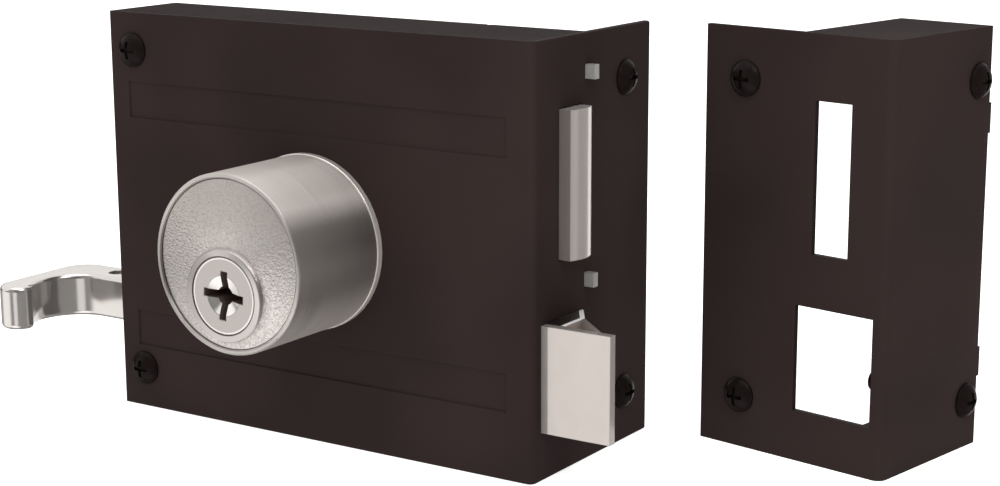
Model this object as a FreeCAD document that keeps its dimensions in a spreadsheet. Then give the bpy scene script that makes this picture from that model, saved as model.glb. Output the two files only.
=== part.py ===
import FreeCAD, Part
import math
import os

import Sketcher

# Gate lock: a rim lock for a gate, with the separate strike box of its gate post.
# Origin: the cylinder's axis at the back of the case, where the case lies on the gate leaf.
# +X runs to the fore-end, +Y into the gate leaf, +Z up. All lengths are millimetres.

# Every size that can be set by itself
SIZES = {
    # Case, folded from painted steel sheet
    "case_width": 121.0,
    "case_height": 98.0,
    "case_depth": 23.6,
    "wall": 1.5,
    "front_bend": 1.8,
    "edge_round": 0.6,
    "fore_end_width": 50.2,
    "backset": 60.8,
    "cylinder_height": 48.15,
    "slot_gap": 0.3,
    "band_depth": 0.35,
    "band_height": 8.8,
    "band_right": 6.9,
    "band_left": 115.4,
    "band_from_top": 25.4,
    "lower_band": 15.8,
    "notch_place": 26.4,
    "notch_width": 1.4,
    "notch_depth": 1.0,
    # Back cover
    "cover": 2.0,
    "cover_gap": 0.15,
    "tab_height": 3.2,
    "tab_proud": 2.45,
    "tab_setback": 0.2,
    "tab_from_top": 10.2,
    "lower_tab": 40.9,
    "drive_hole": 10.0,
    # Cylinder
    "cylinder_dia": 40.8,
    "cylinder_proud": 29.2,
    "rim_width": 1.0,
    "rim_round": 0.45,
    "rim_inner_round": 0.2,
    "bead_width": 0.4,
    "field_depth": 0.5,
    "collar_dia": 21.2,
    "collar_proud": 0.4,
    "rose_dia": 41.3,
    "rose": 1.6,
    "rose_chamfer": 0.2,
    "spigot_dia": 35.0,
    "spigot_gap": 0.2,
    "housing_rear_wall": 2.0,
    # Plug and its keyway
    "plug_aside": 1.0,
    "plug_drop": 7.1,
    "plug_dia": 17.4,
    "plug_gap": 0.08,
    "plug_recess": 0.1,
    "neck_dia": 13.0,
    "neck_length": 3.6,
    "tail_dia": 5.0,
    "tail_end": 18.6,
    "keyway_span": 11.1,
    "keyway_width": 1.85,
    "keyway_depth": 21.0,
    "keyway_tilt": 4.0,
    "funnel_dia": 9.1,
    "funnel_root": 4.6,
    "funnel_depth": 2.4,
    "clip": 0.9,
    "clip_dia": 17.0,
    "clip_groove_dia": 11.2,
    "clip_mouth": 8.0,
    # Pin stacks
    "stack_dia": 2.2,
    "stack_gap": 0.1,
    "stack_step": 5.0,
    "first_stack": 5.5,
    "key_pin": 2.75,
    "driver_pin": 1.5,
    "pin_spring": 1.7,
    "pin_spring_wall": 0.3,
    # Clamp that holds the cylinder
    "clamp": 2.0,
    "clamp_width": 46.0,
    "clamp_rise": 14.0,
    "clamp_gap": 2.8,
    "clamp_screw_apart": 24.0,
    "clamp_screw_rise": 6.0,
    "clamp_screw_dia": 4.0,
    "clamp_screw_head": 7.0,
    "clamp_screw_rise_head": 2.4,
    "clamp_screw_grip": 9.0,
    # Pinion and rack
    "tooth_module": 1.0,
    "pressure_angle": 20.0,
    "profile_shift": 0.45,
    "pinion_addendum": 0.7,
    "rack_addendum": 0.9,
    "root_gap": 0.3,
    "backlash": 0.1,
    "pinion_width": 5.0,
    # Deadbolt
    "deadbolt_front": 10.9,
    "deadbolt_thickness": 9.0,
    "deadbolt_bottom": 49.0,
    "deadbolt_height": 33.3,
    "deadbolt_length": 32.0,
    "deadbolt_proud": 2.8,
    "nose_radius": 9.6,
    "nose_centre": 4.4,
    "slide": 4.0,
    "slide_lap": 12.0,
    "slide_top": 67.0,
    "slide_left": 97.0,
    "slide_neck": 36.0,
    "tongue_height": 26.0,
    "rivet_dia": 4.0,
    "rivets_apart": 16.0,
    # Guide posts on the back cover
    "post_dia": 6.0,
    "post_shoulder": 9.0,
    "post_gap": 0.15,
    "post_height": 59.0,
    "near_post": 40.0,
    "far_post": 64.0,
    "side_gap": 0.3,
    # Latch bolt
    "latch_front": 3.72,
    "latch_thickness": 17.58,
    "latch_bottom": 11.2,
    "latch_height": 24.4,
    "latch_throw": 17.3,
    "latch_face_wall": 2.15,
    "latch_lip": 3.4,
    "latch_wall": 1.1,
    "latch_rib": 4.4,
    "latch_knee": 10.9,
    "latch_pocket_depth": 10.0,
    "latch_pocket_left": 14.0,
    "latch_length": 22.0,
    "latch_shoulder": 1.5,
    # Latch bar and pins
    "tail_bar_width": 9.0,
    "tail_bar": 4.0,
    "tail_bar_height": 23.8,
    "tail_bar_depth": 12.2,
    "tail_bar_lap": 8.0,
    "latch_pin_dia": 4.0,
    "latch_pin_length": 16.0,
    # Latch spring and its bracket
    "spring_wire": 1.2,
    "spring_dia": 12.8,
    "bracket_place": 60.0,
    "bracket": 2.0,
    "bracket_height": 14.0,
    "bracket_foot": 12.0,
    "bracket_reach": 18.0,
    # Finger pull
    "pull_height": 11.0,
    "pull_thickness": 9.7,
    "pull_gap": 2.6,
    "pull_pin_place": 12.8,
    "pull_pin_dia": 4.4,
    "pull_pin_sunk": 0.6,
    "pull_slot_end": 5.6,
    "pull_tongue": 6.6,
    "pull_arc": 9.8,
    "pull_arc_place": 14.4,
    "pull_arm": 5.4,
    "pull_corner": 7.0,
    "pull_tip_centre": 10.2,
    "pull_round": 1.3,
    # Screws and tubes
    "screw_head_dia": 8.2,
    "screw_head": 2.5,
    "screw_rim": 0.5,
    "screw_shank_dia": 4.8,
    "screw_neck_dia": 5.2,
    "screw_neck_past": 0.4,
    "screw_recess": 4.2,
    "screw_recess_width": 0.9,
    "screw_recess_depth": 1.2,
    "screw_hole_gap": 0.2,
    "gate_screw_length": 40.0,
    "gate_screw_place": 113.7,
    "gate_screw_from_top": 9.0,
    "gate_screw_lower": 10.0,
    "tube_dia": 9.0,
    "edge_screw_length": 16.0,
    "edge_screw_depth": 39.2,
    "edge_screw_from_top": 11.8,
    "edge_screw_lower": 12.1,
    "pillar_dia": 8.0,
    "pillar_place": 105.0,
    "pillar_from_top": 20.0,
    "pillar_lower": 40.0,
    "cover_screw_dia": 4.0,
    "cover_screw_head": 7.6,
    "cover_screw_length": 9.0,
    # Strike box
    "strike_aside": 14.0,
    "strike_back": 52.2,
    "strike_turn": 10.16,
    "strike_width": 50.3,
    "strike_box_depth": 24.2,
    "strike_length": 39.6,
    "strike_bend": 2.2,
    "strike_slot_gap": 0.3,
    "strike_mouth_rear": 24.2,
    "end_plate": 1.2,
    "lug_height": 7.0,
    "lug_proud": 0.85,
    "lug_from_top": 24.5,
    "lower_lug": 16.2,
    "strike_edge_screw": 11.1,
    "strike_edge_from_top": 11.6,
    "strike_edge_lower": 12.4,
    "strike_face_screw": 5.0,
    "strike_face_from_top": 12.0,
    "strike_face_lower": 11.4,
    "strike_screw_length": 25.0,
}
PINION_TEETH = 8
KEY_TURNS = 1
RACK_SPARE_TEETH = 2
STACKS_IN_ROW = 3
STACK_ROWS = 4
SPRING_TURNS = 8
WIRE_SIDES = 8
ARC_STEPS = 6

doc = FreeCAD.newDocument("gate_lock")
table = doc.addObject("Spreadsheet::Sheet", "Sizes")
for row, (alias, number) in enumerate(SIZES.items(), start=1):
    table.set("A%d" % row, alias)
    table.set("B%d" % row, "%g" % number)
    table.setAlias("B%d" % row, alias)
doc.recompute()


class Size:
    """A length that knows its number and the sheet formula it is bound to."""

    def __init__(self, number, formula):
        self.number = float(number)
        self.formula = formula

    def __add__(self, other):
        other = as_size(other)
        return Size(self.number + other.number, "(%s + %s)" % (self.formula, other.formula))

    def __sub__(self, other):
        other = as_size(other)
        return Size(self.number - other.number, "(%s - %s)" % (self.formula, other.formula))

    def __mul__(self, other):
        other = as_size(other)
        return Size(self.number * other.number, "(%s * %s)" % (self.formula, other.formula))

    def __truediv__(self, other):
        other = as_size(other)
        return Size(self.number / other.number, "(%s / %s)" % (self.formula, other.formula))

    def __neg__(self):
        return Size(-self.number, "(0 - %s)" % self.formula)

    def __radd__(self, other):
        return as_size(other) + self

    def __rsub__(self, other):
        return as_size(other) - self

    def __rmul__(self, other):
        return as_size(other) * self

    def __float__(self):
        return self.number


def as_size(value):
    if isinstance(value, Size):
        return value
    return Size(value, "%.9g" % value)


class SizeTable:
    """Gives each sheet cell by its alias, as size.case_width."""

    def __getattr__(self, alias):
        return Size(float(table.get(alias)), "Sizes." + alias)


size = SizeTable()


def sine(degrees):
    return Size(math.sin(math.radians(degrees.number)), "sin(%s * 1 deg)" % degrees.formula)


def cosine(degrees):
    return Size(math.cos(math.radians(degrees.number)), "cos(%s * 1 deg)" % degrees.formula)


def root(value):
    return Size(math.sqrt(value.number), "sqrt(%s)" % value.formula)


def bind(thing, name, value):
    """Set a property to a size and tie it to the sheet."""
    value = as_size(value)
    if "." not in name and "[" not in name:
        setattr(thing, name, value.number)
    thing.setExpression(name, value.formula)


def place(thing, x, y, z):
    """Tie a piece's position to the sheet."""
    for axis, value in zip("xyz", (x, y, z)):
        bind(thing, ".Placement.Base." + axis, value)


# Places shared by several pieces, in the lock's own frame:
# x = 0 at the outside of the fore-end, y = 0 at the front face, z = 0 at the bottom
LOCK = (size.backset, -size.case_depth, -size.cylinder_height)
inner_back = size.case_depth - size.cover
plug_x = -(size.backset + size.plug_aside)
plug_z = size.cylinder_height - size.plug_drop
pitch_radius = size.tooth_module * (PINION_TEETH / 2)
tooth_pitch = size.tooth_module * math.pi
deadbolt_throw = tooth_pitch * (PINION_TEETH * KEY_TURNS)
pinion_tip = pitch_radius + size.tooth_module * (size.pinion_addendum + size.profile_shift)
rack_line = pitch_radius + size.tooth_module * size.profile_shift
rack_tip = rack_line - size.tooth_module * size.rack_addendum
rack_root = pinion_tip + size.root_gap
slide_front = size.deadbolt_front + (size.deadbolt_thickness - size.slide) / 2
slide_back = slide_front + size.slide
pinion_front = slide_front + size.slide / 2 - size.pinion_width / 2
bar_front = size.tail_bar_depth - size.tail_bar_width / 2
bar_back = size.tail_bar_depth + size.tail_bar_width / 2
bar_bottom = size.tail_bar_height - size.tail_bar / 2
bar_top = size.tail_bar_height + size.tail_bar / 2
pull_pin_x = -(size.case_width + size.pull_pin_place)
pull_front = size.tail_bar_depth - size.pull_thickness / 2
pull_back = size.tail_bar_depth + size.pull_thickness / 2
tab_thickness = size.cover - size.tab_setback
screw_hole_dia = size.screw_neck_dia + size.screw_hole_gap * 2
gate_screw_heights = (size.case_height - size.gate_screw_from_top, size.gate_screw_lower)
edge_screw_heights = (size.case_height - size.edge_screw_from_top, size.edge_screw_lower)
pillar_heights = (size.case_height - size.pillar_from_top, size.pillar_lower)
tab_bottoms = (size.case_height - size.tab_from_top, size.lower_tab)
band_bottoms = (size.case_height - size.band_from_top, size.lower_band)
clamp_screw_z = size.cylinder_height + size.clamp_screw_rise

pieces = {}


def keep(thing, label, frame=LOCK, turn=None):
    """Name a finished piece and seat it in the part's frame."""
    thing.Label = label
    if turn is not None:
        thing.Placement = FreeCAD.Placement(FreeCAD.Vector(), FreeCAD.Rotation(FreeCAD.Vector(0, 0, 1), turn.number))
        thing.setExpression(".Placement.Rotation.Angle", turn.formula)
    place(thing, *frame)
    pieces[label] = thing
    return thing


# Primitives and booleans, each bound to the sheet
TURN_TO = {
    "x": FreeCAD.Rotation(FreeCAD.Vector(0, 1, 0), 90),
    "y": FreeCAD.Rotation(FreeCAD.Vector(1, 0, 0), -90),
    "z": FreeCAD.Rotation(),
}


def box(x, y, z, length, width, height):
    solid = doc.addObject("Part::Box", "Box")
    bind(solid, "Length", length)
    bind(solid, "Width", width)
    bind(solid, "Height", height)
    place(solid, x, y, z)
    return solid


def rod(x, y, z, diameter, height, axis="y"):
    solid = doc.addObject("Part::Cylinder", "Rod")
    bind(solid, "Radius", as_size(diameter) / 2)
    bind(solid, "Height", height)
    solid.Placement.Rotation = TURN_TO[axis]
    place(solid, x, y, z)
    return solid


def taper(x, y, z, first_dia, last_dia, height, axis="y"):
    solid = doc.addObject("Part::Cone", "Taper")
    bind(solid, "Radius1", as_size(first_dia) / 2)
    bind(solid, "Radius2", as_size(last_dia) / 2)
    bind(solid, "Height", height)
    solid.Placement.Rotation = TURN_TO[axis]
    place(solid, x, y, z)
    return solid


def fuse(*parts):
    joined = doc.addObject("Part::MultiFuse", "Joined")
    joined.Shapes = list(parts)
    joined.Refine = True
    return joined


def cut(base, *tools):
    left = doc.addObject("Part::Cut", "Left")
    left.Base = base
    left.Tool = tools[0] if len(tools) == 1 else fuse(*tools)
    left.Refine = True
    return left


def common(first, second):
    shared = doc.addObject("Part::MultiCommon", "Shared")
    shared.Shapes = [first, second]
    return shared


def group(*parts):
    several = doc.addObject("Part::Compound", "Several")
    several.Links = list(parts)
    return several


# Sketched bodies
PLANE_ROLE = {"xy": "XY_Plane", "xz": "XZ_Plane", "yz": "YZ_Plane"}
# the xz plane's normal points along -Y
NORMAL = {"xy": 1, "xz": -1, "yz": 1}
facing = {}


def new_body(name):
    return doc.addObject("PartDesign::Body", name)


def new_sketch(body, plane, offset=0.0):
    """A sketch on one of the body's own planes, moved along the third axis."""
    sketch = body.newObject("Sketcher::SketchObject", "Sketch")
    origin_plane = [f for f in body.Origin.OriginFeatures if f.Role == PLANE_ROLE[plane]][0]
    sketch.AttachmentSupport = [(origin_plane, "")]
    sketch.MapMode = "FlatFace"
    facing[sketch.Name] = NORMAL[plane]
    bind(sketch, ".AttachmentOffset.Base.z", as_size(offset) * NORMAL[plane])
    return sketch


def fix_point(sketch, geometry, end, point):
    for kind, value in zip(("DistanceX", "DistanceY"), point):
        value = as_size(value)
        index = sketch.addConstraint(Sketcher.Constraint(kind, -1, 1, geometry, end, value.number))
        sketch.setExpression("Constraints[%d]" % index, value.formula)


def draw_loop(sketch, points):
    """A closed outline, drawn counter-clockwise. A point with a third entry starts an arc of that
    radius to the next point: positive where the outline bulges out, negative where it is hollow."""
    ends = [FreeCAD.Vector(float(p[0]), float(p[1]), 0) for p in points]
    indices = []
    for number, point in enumerate(points):
        start = ends[number]
        stop = ends[(number + 1) % len(points)]
        if len(point) == 3:
            radius = abs(float(point[2]))
            chord = stop - start
            half = chord.Length / 2
            aside = FreeCAD.Vector(chord.y, -chord.x, 0).normalize()
            side = 1 if float(point[2]) > 0 else -1
            rise = radius - math.sqrt(max(radius * radius - half * half, 0.0))
            middle = (start + stop) / 2 + aside * (side * rise)
            arc = Part.Arc(start, middle, stop)
            index = sketch.addGeometry(arc, False)
        else:
            index = sketch.addGeometry(Part.LineSegment(start, stop), False)
        indices.append(index)
    for number, point in enumerate(points):
        after = (number + 1) % len(points)
        sketch.addConstraint(
            Sketcher.Constraint("Coincident", indices[number], far_end(points, number), indices[after], near_end(points, after))
        )
        fix_point(sketch, indices[number], near_end(points, number), point[:2])
        if len(point) == 3:
            value = as_size(point[2])
            value = value if value.number > 0 else -value
            index = sketch.addConstraint(Sketcher.Constraint("Radius", indices[number], value.number))
            sketch.setExpression("Constraints[%d]" % index, value.formula)


def near_end(points, number):
    """Which end of the piece of outline lies at its own point: arcs always run counter-clockwise."""
    point = points[number]
    return 2 if len(point) == 3 and float(point[2]) < 0 else 1


def far_end(points, number):
    return 3 - near_end(points, number)


def draw_box(sketch, left, bottom, width, height):
    left, bottom = as_size(left), as_size(bottom)
    draw_loop(sketch, [(left, bottom), (left + width, bottom), (left + width, bottom + height), (left, bottom + height)])


def draw_circle(sketch, x, y, diameter):
    diameter = as_size(diameter)
    circle = Part.Circle(FreeCAD.Vector(float(x), float(y), 0), FreeCAD.Vector(0, 0, 1), diameter.number / 2)
    index = sketch.addGeometry(circle, False)
    fix_point(sketch, index, 3, (x, y))
    number = sketch.addConstraint(Sketcher.Constraint("Diameter", index, diameter.number))
    sketch.setExpression("Constraints[%d]" % number, diameter.formula)


def pad(body, sketch, length, toward=1):
    """Add material from the sketch along the positive (1) or negative (-1) axis."""
    feature = body.newObject("PartDesign::Pad", "Pad")
    feature.Profile = sketch
    bind(feature, "Length", length)
    feature.Reversed = toward != facing[sketch.Name]
    body.Tip = feature
    doc.recompute()
    return feature


def pocket(body, sketch, length, toward=1):
    """Take material away from the sketch along the positive (1) or negative (-1) axis."""
    before = body.Shape.Volume
    feature = body.newObject("PartDesign::Pocket", "Pocket")
    feature.Profile = sketch
    bind(feature, "Length", length)
    feature.Reversed = toward == facing[sketch.Name]
    body.Tip = feature
    doc.recompute()
    if body.Shape.Volume > before - 1e-6:
        raise RuntimeError("%s: a pocket cuts nothing" % body.Name)
    return feature


def revolve(body, sketch, axis="V_Axis"):
    feature = body.newObject("PartDesign::Revolution", "Revolution")
    feature.Profile = sketch
    feature.ReferenceAxis = (sketch, [axis])
    feature.Angle = 360
    body.Tip = feature
    doc.recompute()
    return feature


def round_edges(body, radius, picks):
    """Fillet the edges for which picks(edge) holds."""
    base = body.Tip
    doc.recompute()
    names = ["Edge%d" % (i + 1) for i, edge in enumerate(base.Shape.Edges) if picks(edge)]
    if not names:
        raise RuntimeError("%s: no edge to round" % body.Name)
    feature = body.newObject("PartDesign::Fillet", "Fillet")
    feature.Base = (base, names)
    bind(feature, "Radius", radius)
    body.Tip = feature
    doc.recompute()
    return feature


def spans(edge, axis, **at):
    """True for a straight edge along an axis ("x", "y" or "z") that lies at the given coordinates."""
    if not isinstance(edge.Curve, Part.Line):
        return False
    first, last = edge.Vertexes[0].Point, edge.Vertexes[-1].Point
    along = abs(getattr(last - first, axis)) / edge.Length
    near = all(abs(getattr(first, name) - float(value)) < 1e-4 for name, value in at.items())
    return along > 0.999 and near


# Case
def make_case():
    body = new_body("Case")
    outline = new_sketch(body, "xz")
    draw_box(outline, -size.case_width, 0, size.case_width, size.case_height)
    pad(body, outline, size.case_depth)
    flange = new_sketch(body, "xy")
    draw_box(flange, -size.wall, 0, size.wall, size.fore_end_width)
    pad(body, flange, size.case_height)
    hollow = new_sketch(body, "xz", size.wall)
    inside = size.case_width - size.wall * 2
    draw_box(hollow, size.wall - size.case_width, size.wall, inside, size.case_height - size.wall * 2)
    pocket(body, hollow, size.case_depth)
    round_edges(body, size.front_bend, lambda e: spans(e, "z", x=0, y=0))
    round_edges(body, size.edge_round, lambda e: spans(e, "z", x=-size.case_width, y=0) or spans(e, "x", y=0))

    bands = new_sketch(body, "xz")
    for bottom in band_bottoms:
        draw_box(bands, -size.band_left, bottom, size.band_left - size.band_right, size.band_height)
    pocket(body, bands, size.band_depth)

    front_holes = new_sketch(body, "xz")
    draw_circle(front_holes, -size.backset, size.cylinder_height, size.spigot_dia + size.spigot_gap)
    for height in gate_screw_heights:
        draw_circle(front_holes, -size.gate_screw_place, height, screw_hole_dia)
    pocket(body, front_holes, size.wall)

    gap = size.slot_gap
    fore_end = new_sketch(body, "yz")
    draw_box(
        fore_end,
        size.deadbolt_front - gap,
        size.deadbolt_bottom - gap,
        size.deadbolt_thickness + gap * 2,
        size.deadbolt_height + gap * 2,
    )
    draw_box(
        fore_end,
        size.latch_front - gap,
        size.latch_bottom - gap,
        inner_back - size.cover_gap - size.latch_front + gap,
        size.latch_height + gap * 2,
    )
    for bottom in tab_bottoms:
        draw_box(
            fore_end, inner_back - size.cover_gap / 2, bottom - gap / 2, tab_thickness + size.cover_gap, size.tab_height + gap
        )
    for height in edge_screw_heights:
        draw_circle(fore_end, size.edge_screw_depth, height, screw_hole_dia)
    pocket(body, fore_end, size.wall, toward=-1)

    left_wall = new_sketch(body, "yz", -size.case_width)
    draw_box(left_wall, bar_front - gap, bar_bottom - gap, size.tail_bar_width + gap * 2, size.tail_bar + gap * 2)
    pocket(body, left_wall, size.wall)

    notch = new_sketch(body, "xy", size.case_height)
    draw_loop(
        notch,
        [
            (-size.notch_place - size.notch_width / 2, size.case_depth),
            (-size.notch_place, size.case_depth - size.notch_depth),
            (-size.notch_place + size.notch_width / 2, size.case_depth),
        ],
    )
    pocket(body, notch, size.wall, toward=-1)
    keep(body, "case")


# Back cover: closes the case, with two tabs through the fore-end
def make_back_cover():
    body = new_body("BackCover")
    plate = new_sketch(body, "xz", inner_back)
    width = size.case_width - (size.wall + size.cover_gap) * 2
    height = size.case_height - (size.wall + size.cover_gap) * 2
    draw_box(plate, size.wall + size.cover_gap - size.case_width, size.wall + size.cover_gap, width, height)
    pad(body, plate, size.cover)
    tabs = new_sketch(body, "xz", inner_back)
    reach = size.wall + size.cover_gap + size.tab_proud
    for bottom in tab_bottoms:
        draw_box(tabs, -size.wall - size.cover_gap * 2, bottom, reach + size.cover_gap, size.tab_height)
    pad(body, tabs, tab_thickness)
    holes = new_sketch(body, "xz", inner_back)
    draw_circle(holes, plug_x, plug_z, size.drive_hole)
    for height in gate_screw_heights:
        draw_circle(holes, -size.gate_screw_place, height, screw_hole_dia)
    pocket(body, holes, size.cover)
    plate_piece = body
    sinks = []
    for height in pillar_heights:
        sinks.append(
            taper(-size.pillar_place, inner_back, height, size.cover_screw_dia, size.cover_screw_head, size.cover)
        )
    keep(cut(plate_piece, *sinks), "back_cover")


# Cylinder
def make_rose():
    ring = rod(-size.backset, -size.rose, size.cylinder_height, size.rose_dia, size.rose)
    rounding = taper(
        -size.backset,
        -size.rose,
        size.cylinder_height,
        size.rose_dia - size.rose_chamfer * 2,
        size.rose_dia + (size.rose - size.rose_chamfer) * 2,
        size.rose,
    )
    bore = rod(-size.backset, -size.rose, size.cylinder_height, size.spigot_dia + size.spigot_gap, size.rose)
    keep(cut(common(ring, rounding), bore), "cylinder_rose")


def stack_cylinders(near, far, diameter, sharp=0.0):
    """Small round pieces in the pin stacks, from one distance to another from the plug's axis."""
    parts = []
    for row in range(STACK_ROWS):
        angle = size.keyway_tilt + 360.0 / STACK_ROWS * row
        for place_in_row in range(STACKS_IN_ROW):
            depth = -size.cylinder_proud + size.first_stack + size.stack_step * place_in_row
            piece = doc.addObject("Part::Cylinder", "Stack")
            bind(piece, "Radius", as_size(diameter) / 2)
            bind(piece, "Height", far - near)
            turn_stack(piece, angle, plug_x, depth, plug_z, near)
            if sharp:
                tip = doc.addObject("Part::Cone", "Tip")
                bind(tip, "Radius1", as_size(diameter) / 2 * sharp)
                bind(tip, "Radius2", as_size(diameter) / 2 + (far - near) - as_size(diameter) / 2 * (1 - sharp))
                bind(tip, "Height", far - near)
                turn_stack(tip, angle, plug_x, depth, plug_z, near)
                piece = common(piece, tip)
            parts.append(piece)
    return parts


def turn_stack(piece, angle, x, y, z, near):
    """Point a stack piece away from the plug's axis, turned about +Y from +X."""
    radians = math.radians(angle.number)
    outward = FreeCAD.Vector(math.cos(radians), 0, -math.sin(radians))
    piece.Placement.Rotation = FreeCAD.Rotation(FreeCAD.Vector(0, 0, 1), outward)
    place(piece, x + near * cosine(angle), y, z - near * sine(angle))


def make_housing():
    body = new_body("Housing")
    radius = size.cylinder_dia / 2
    profile = new_sketch(body, "xy")
    front = -size.cylinder_proud
    field = front + size.field_depth
    bead_radius = size.bead_width / 2
    bead_x = radius - size.rim_width - bead_radius
    draw_loop(
        profile,
        [
            (0, field),
            (bead_x - bead_radius, field, bead_radius),
            (bead_x, field - bead_radius, bead_radius),
            (bead_x + bead_radius, field),
            (radius - size.rim_width, front + size.rim_inner_round, size.rim_inner_round),
            (radius - size.rim_width + size.rim_inner_round, front),
            (radius - size.rim_round, front, size.rim_round),
            (radius, front + size.rim_round),
            (radius, -size.rose),
            (size.spigot_dia / 2, -size.rose),
            (size.spigot_dia / 2, size.wall),
            (0, size.wall),
        ],
    )
    revolve(body, profile)
    collar = new_sketch(body, "xz", front - size.collar_proud)
    draw_circle(collar, -size.plug_aside, -size.plug_drop, size.collar_dia)
    pad(body, collar, size.field_depth + size.collar_proud)
    round_edges(
        body,
        size.collar_proud,
        lambda e: isinstance(e.Curve, Part.Circle)
        and abs(e.Curve.Radius - float(size.collar_dia) / 2) < 1e-4
        and abs(e.Curve.Center.y - float(front - size.collar_proud)) < 1e-4,
    )
    bore = new_sketch(body, "xz", front - size.collar_proud)
    draw_circle(bore, -size.plug_aside, -size.plug_drop, size.plug_dia + size.plug_gap * 2)
    bore_length = size.cylinder_proud + size.collar_proud - size.housing_rear_wall - size.clip
    pocket(body, bore, bore_length)
    neck = new_sketch(body, "xz", -size.housing_rear_wall - size.clip)
    draw_circle(neck, -size.plug_aside, -size.plug_drop, size.neck_dia + size.plug_gap * 2)
    pocket(body, neck, size.housing_rear_wall + size.clip + size.wall)
    clip_seat = new_sketch(body, "xz", -size.clip)
    draw_circle(clip_seat, -size.plug_aside, -size.plug_drop, size.clip_dia + size.plug_gap * 4)
    pocket(body, clip_seat, size.clip + size.wall)
    tapped = new_sketch(body, "xz", size.wall)
    for side in (-1, 1):
        draw_circle(tapped, size.clamp_screw_apart / 2 * side, size.clamp_screw_rise, size.clamp_screw_dia)
    pocket(body, tapped, size.clamp_screw_grip, toward=-1)
    place(body, -size.backset, 0, size.cylinder_height)
    near = size.plug_dia / 2
    far = near + size.plug_gap + size.driver_pin + size.pin_spring
    stacks = stack_cylinders(near, far, size.stack_dia + size.stack_gap * 2)
    keep(cut(body, *stacks), "cylinder_housing")


def make_plug():
    body = new_body("Plug")
    front = -size.cylinder_proud - size.collar_proud + size.plug_recess
    neck_start = -size.housing_rear_wall - size.clip - size.plug_gap
    neck_end = neck_start + size.neck_length
    groove = -size.clip
    profile = new_sketch(body, "xy")
    draw_loop(
        profile,
        [
            (0, front),
            (size.plug_dia / 2, front),
            (size.plug_dia / 2, neck_start),
            (size.neck_dia / 2, neck_start),
            (size.neck_dia / 2, groove),
            (size.clip_groove_dia / 2, groove),
            (size.clip_groove_dia / 2, groove + size.clip),
            (size.neck_dia / 2, groove + size.clip),
            (size.neck_dia / 2, neck_end),
            (size.tail_dia / 2, neck_end),
            (size.tail_dia / 2, size.tail_end),
            (0, size.tail_end),
        ],
    )
    revolve(body, profile)
    place(body, plug_x, 0, plug_z)
    depth = size.keyway_depth
    funnel = taper(plug_x, front, plug_z, size.funnel_dia, size.funnel_root, size.funnel_depth)
    throat = rod(plug_x, front, plug_z, size.funnel_root, depth)
    arms = []
    for turn in (0, 90):
        arm = doc.addObject("Part::Box", "Arm")
        bind(arm, "Length", size.keyway_span)
        bind(arm, "Width", depth)
        bind(arm, "Height", size.keyway_width)
        angle = size.keyway_tilt + turn
        arm.Placement.Rotation = FreeCAD.Rotation(FreeCAD.Vector(0, 1, 0), angle.number)
        back_x = size.keyway_span / 2 * cosine(angle) + size.keyway_width / 2 * sine(angle)
        back_z = size.keyway_width / 2 * cosine(angle) - size.keyway_span / 2 * sine(angle)
        place(arm, plug_x - back_x, front, plug_z - back_z)
        arms.append(arm)
    slot = size.keyway_width
    tail_slot = box(
        plug_x - size.tail_dia / 2, size.tail_end - slot, plug_z - slot / 2, size.tail_dia, slot, slot
    )
    holes = stack_cylinders(size.keyway_span / 2 - size.stack_gap, size.plug_dia / 2, size.stack_dia + size.stack_gap)
    keep(cut(body, funnel, throat, tail_slot, *arms, *holes), "plug")


def make_pin_stacks():
    shear = size.plug_dia / 2
    key_pins = stack_cylinders(shear - size.key_pin, shear - size.stack_gap / 2, size.stack_dia, sharp=0.35)
    keep(group(*key_pins), "key_pins")
    inner = shear + size.plug_gap
    middle = inner + size.driver_pin
    keep(group(*stack_cylinders(inner, middle, size.stack_dia)), "driver_pins")
    outer = middle + size.pin_spring
    coils = stack_cylinders(middle, outer, size.stack_dia)
    cores = stack_cylinders(middle, outer, size.stack_dia - size.pin_spring_wall * 2)
    keep(group(*[cut(coil, core) for coil, core in zip(coils, cores)]), "pin_springs")


def make_plug_clip():
    start = -size.clip
    ring = rod(plug_x, start, plug_z, size.clip_dia, size.clip)
    bore = rod(plug_x, start, plug_z, size.clip_groove_dia, size.clip)
    mouth = box(
        plug_x - size.clip_mouth / 2, start, plug_z - size.clip_dia / 2, size.clip_mouth, size.clip, size.clip_dia / 2
    )
    keep(cut(ring, bore, mouth), "plug_clip")


def make_clamp():
    left = -size.backset - size.clamp_width / 2
    bottom = size.tail_bar_height + size.bracket_height / 2 + size.clamp_gap
    top = size.cylinder_height + size.clamp_rise
    plate = box(left, size.wall, bottom, size.clamp_width, size.clamp, top - bottom)
    tail_hole = rod(plug_x, size.wall, plug_z, size.tail_dia + size.plug_gap * 8, size.clamp)
    screw_holes = []
    for side in (-1, 1):
        x = -size.backset + size.clamp_screw_apart / 2 * side
        screw_holes.append(rod(x, size.wall, clamp_screw_z, size.clamp_screw_dia + size.screw_hole_gap, size.clamp))
    keep(cut(plate, tail_hole, *screw_holes), "cylinder_clamp")
    screws = []
    for side in (-1, 1):
        x = -size.backset + size.clamp_screw_apart / 2 * side
        start = size.wall - size.clamp_screw_grip
        shank = rod(x, start, clamp_screw_z, size.clamp_screw_dia, size.clamp_screw_grip + size.clamp)
        head = rod(x, size.wall + size.clamp, clamp_screw_z, size.clamp_screw_head, size.clamp_screw_rise_head)
        screws.append(fuse(shank, head))
    keep(group(*screws), "clamp_screws")


# Pinion and rack. The rack runs above the pinion; at rest a rack tooth stands over the pinion's axis.
def involute(angle):
    return math.tan(angle) - angle


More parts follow.
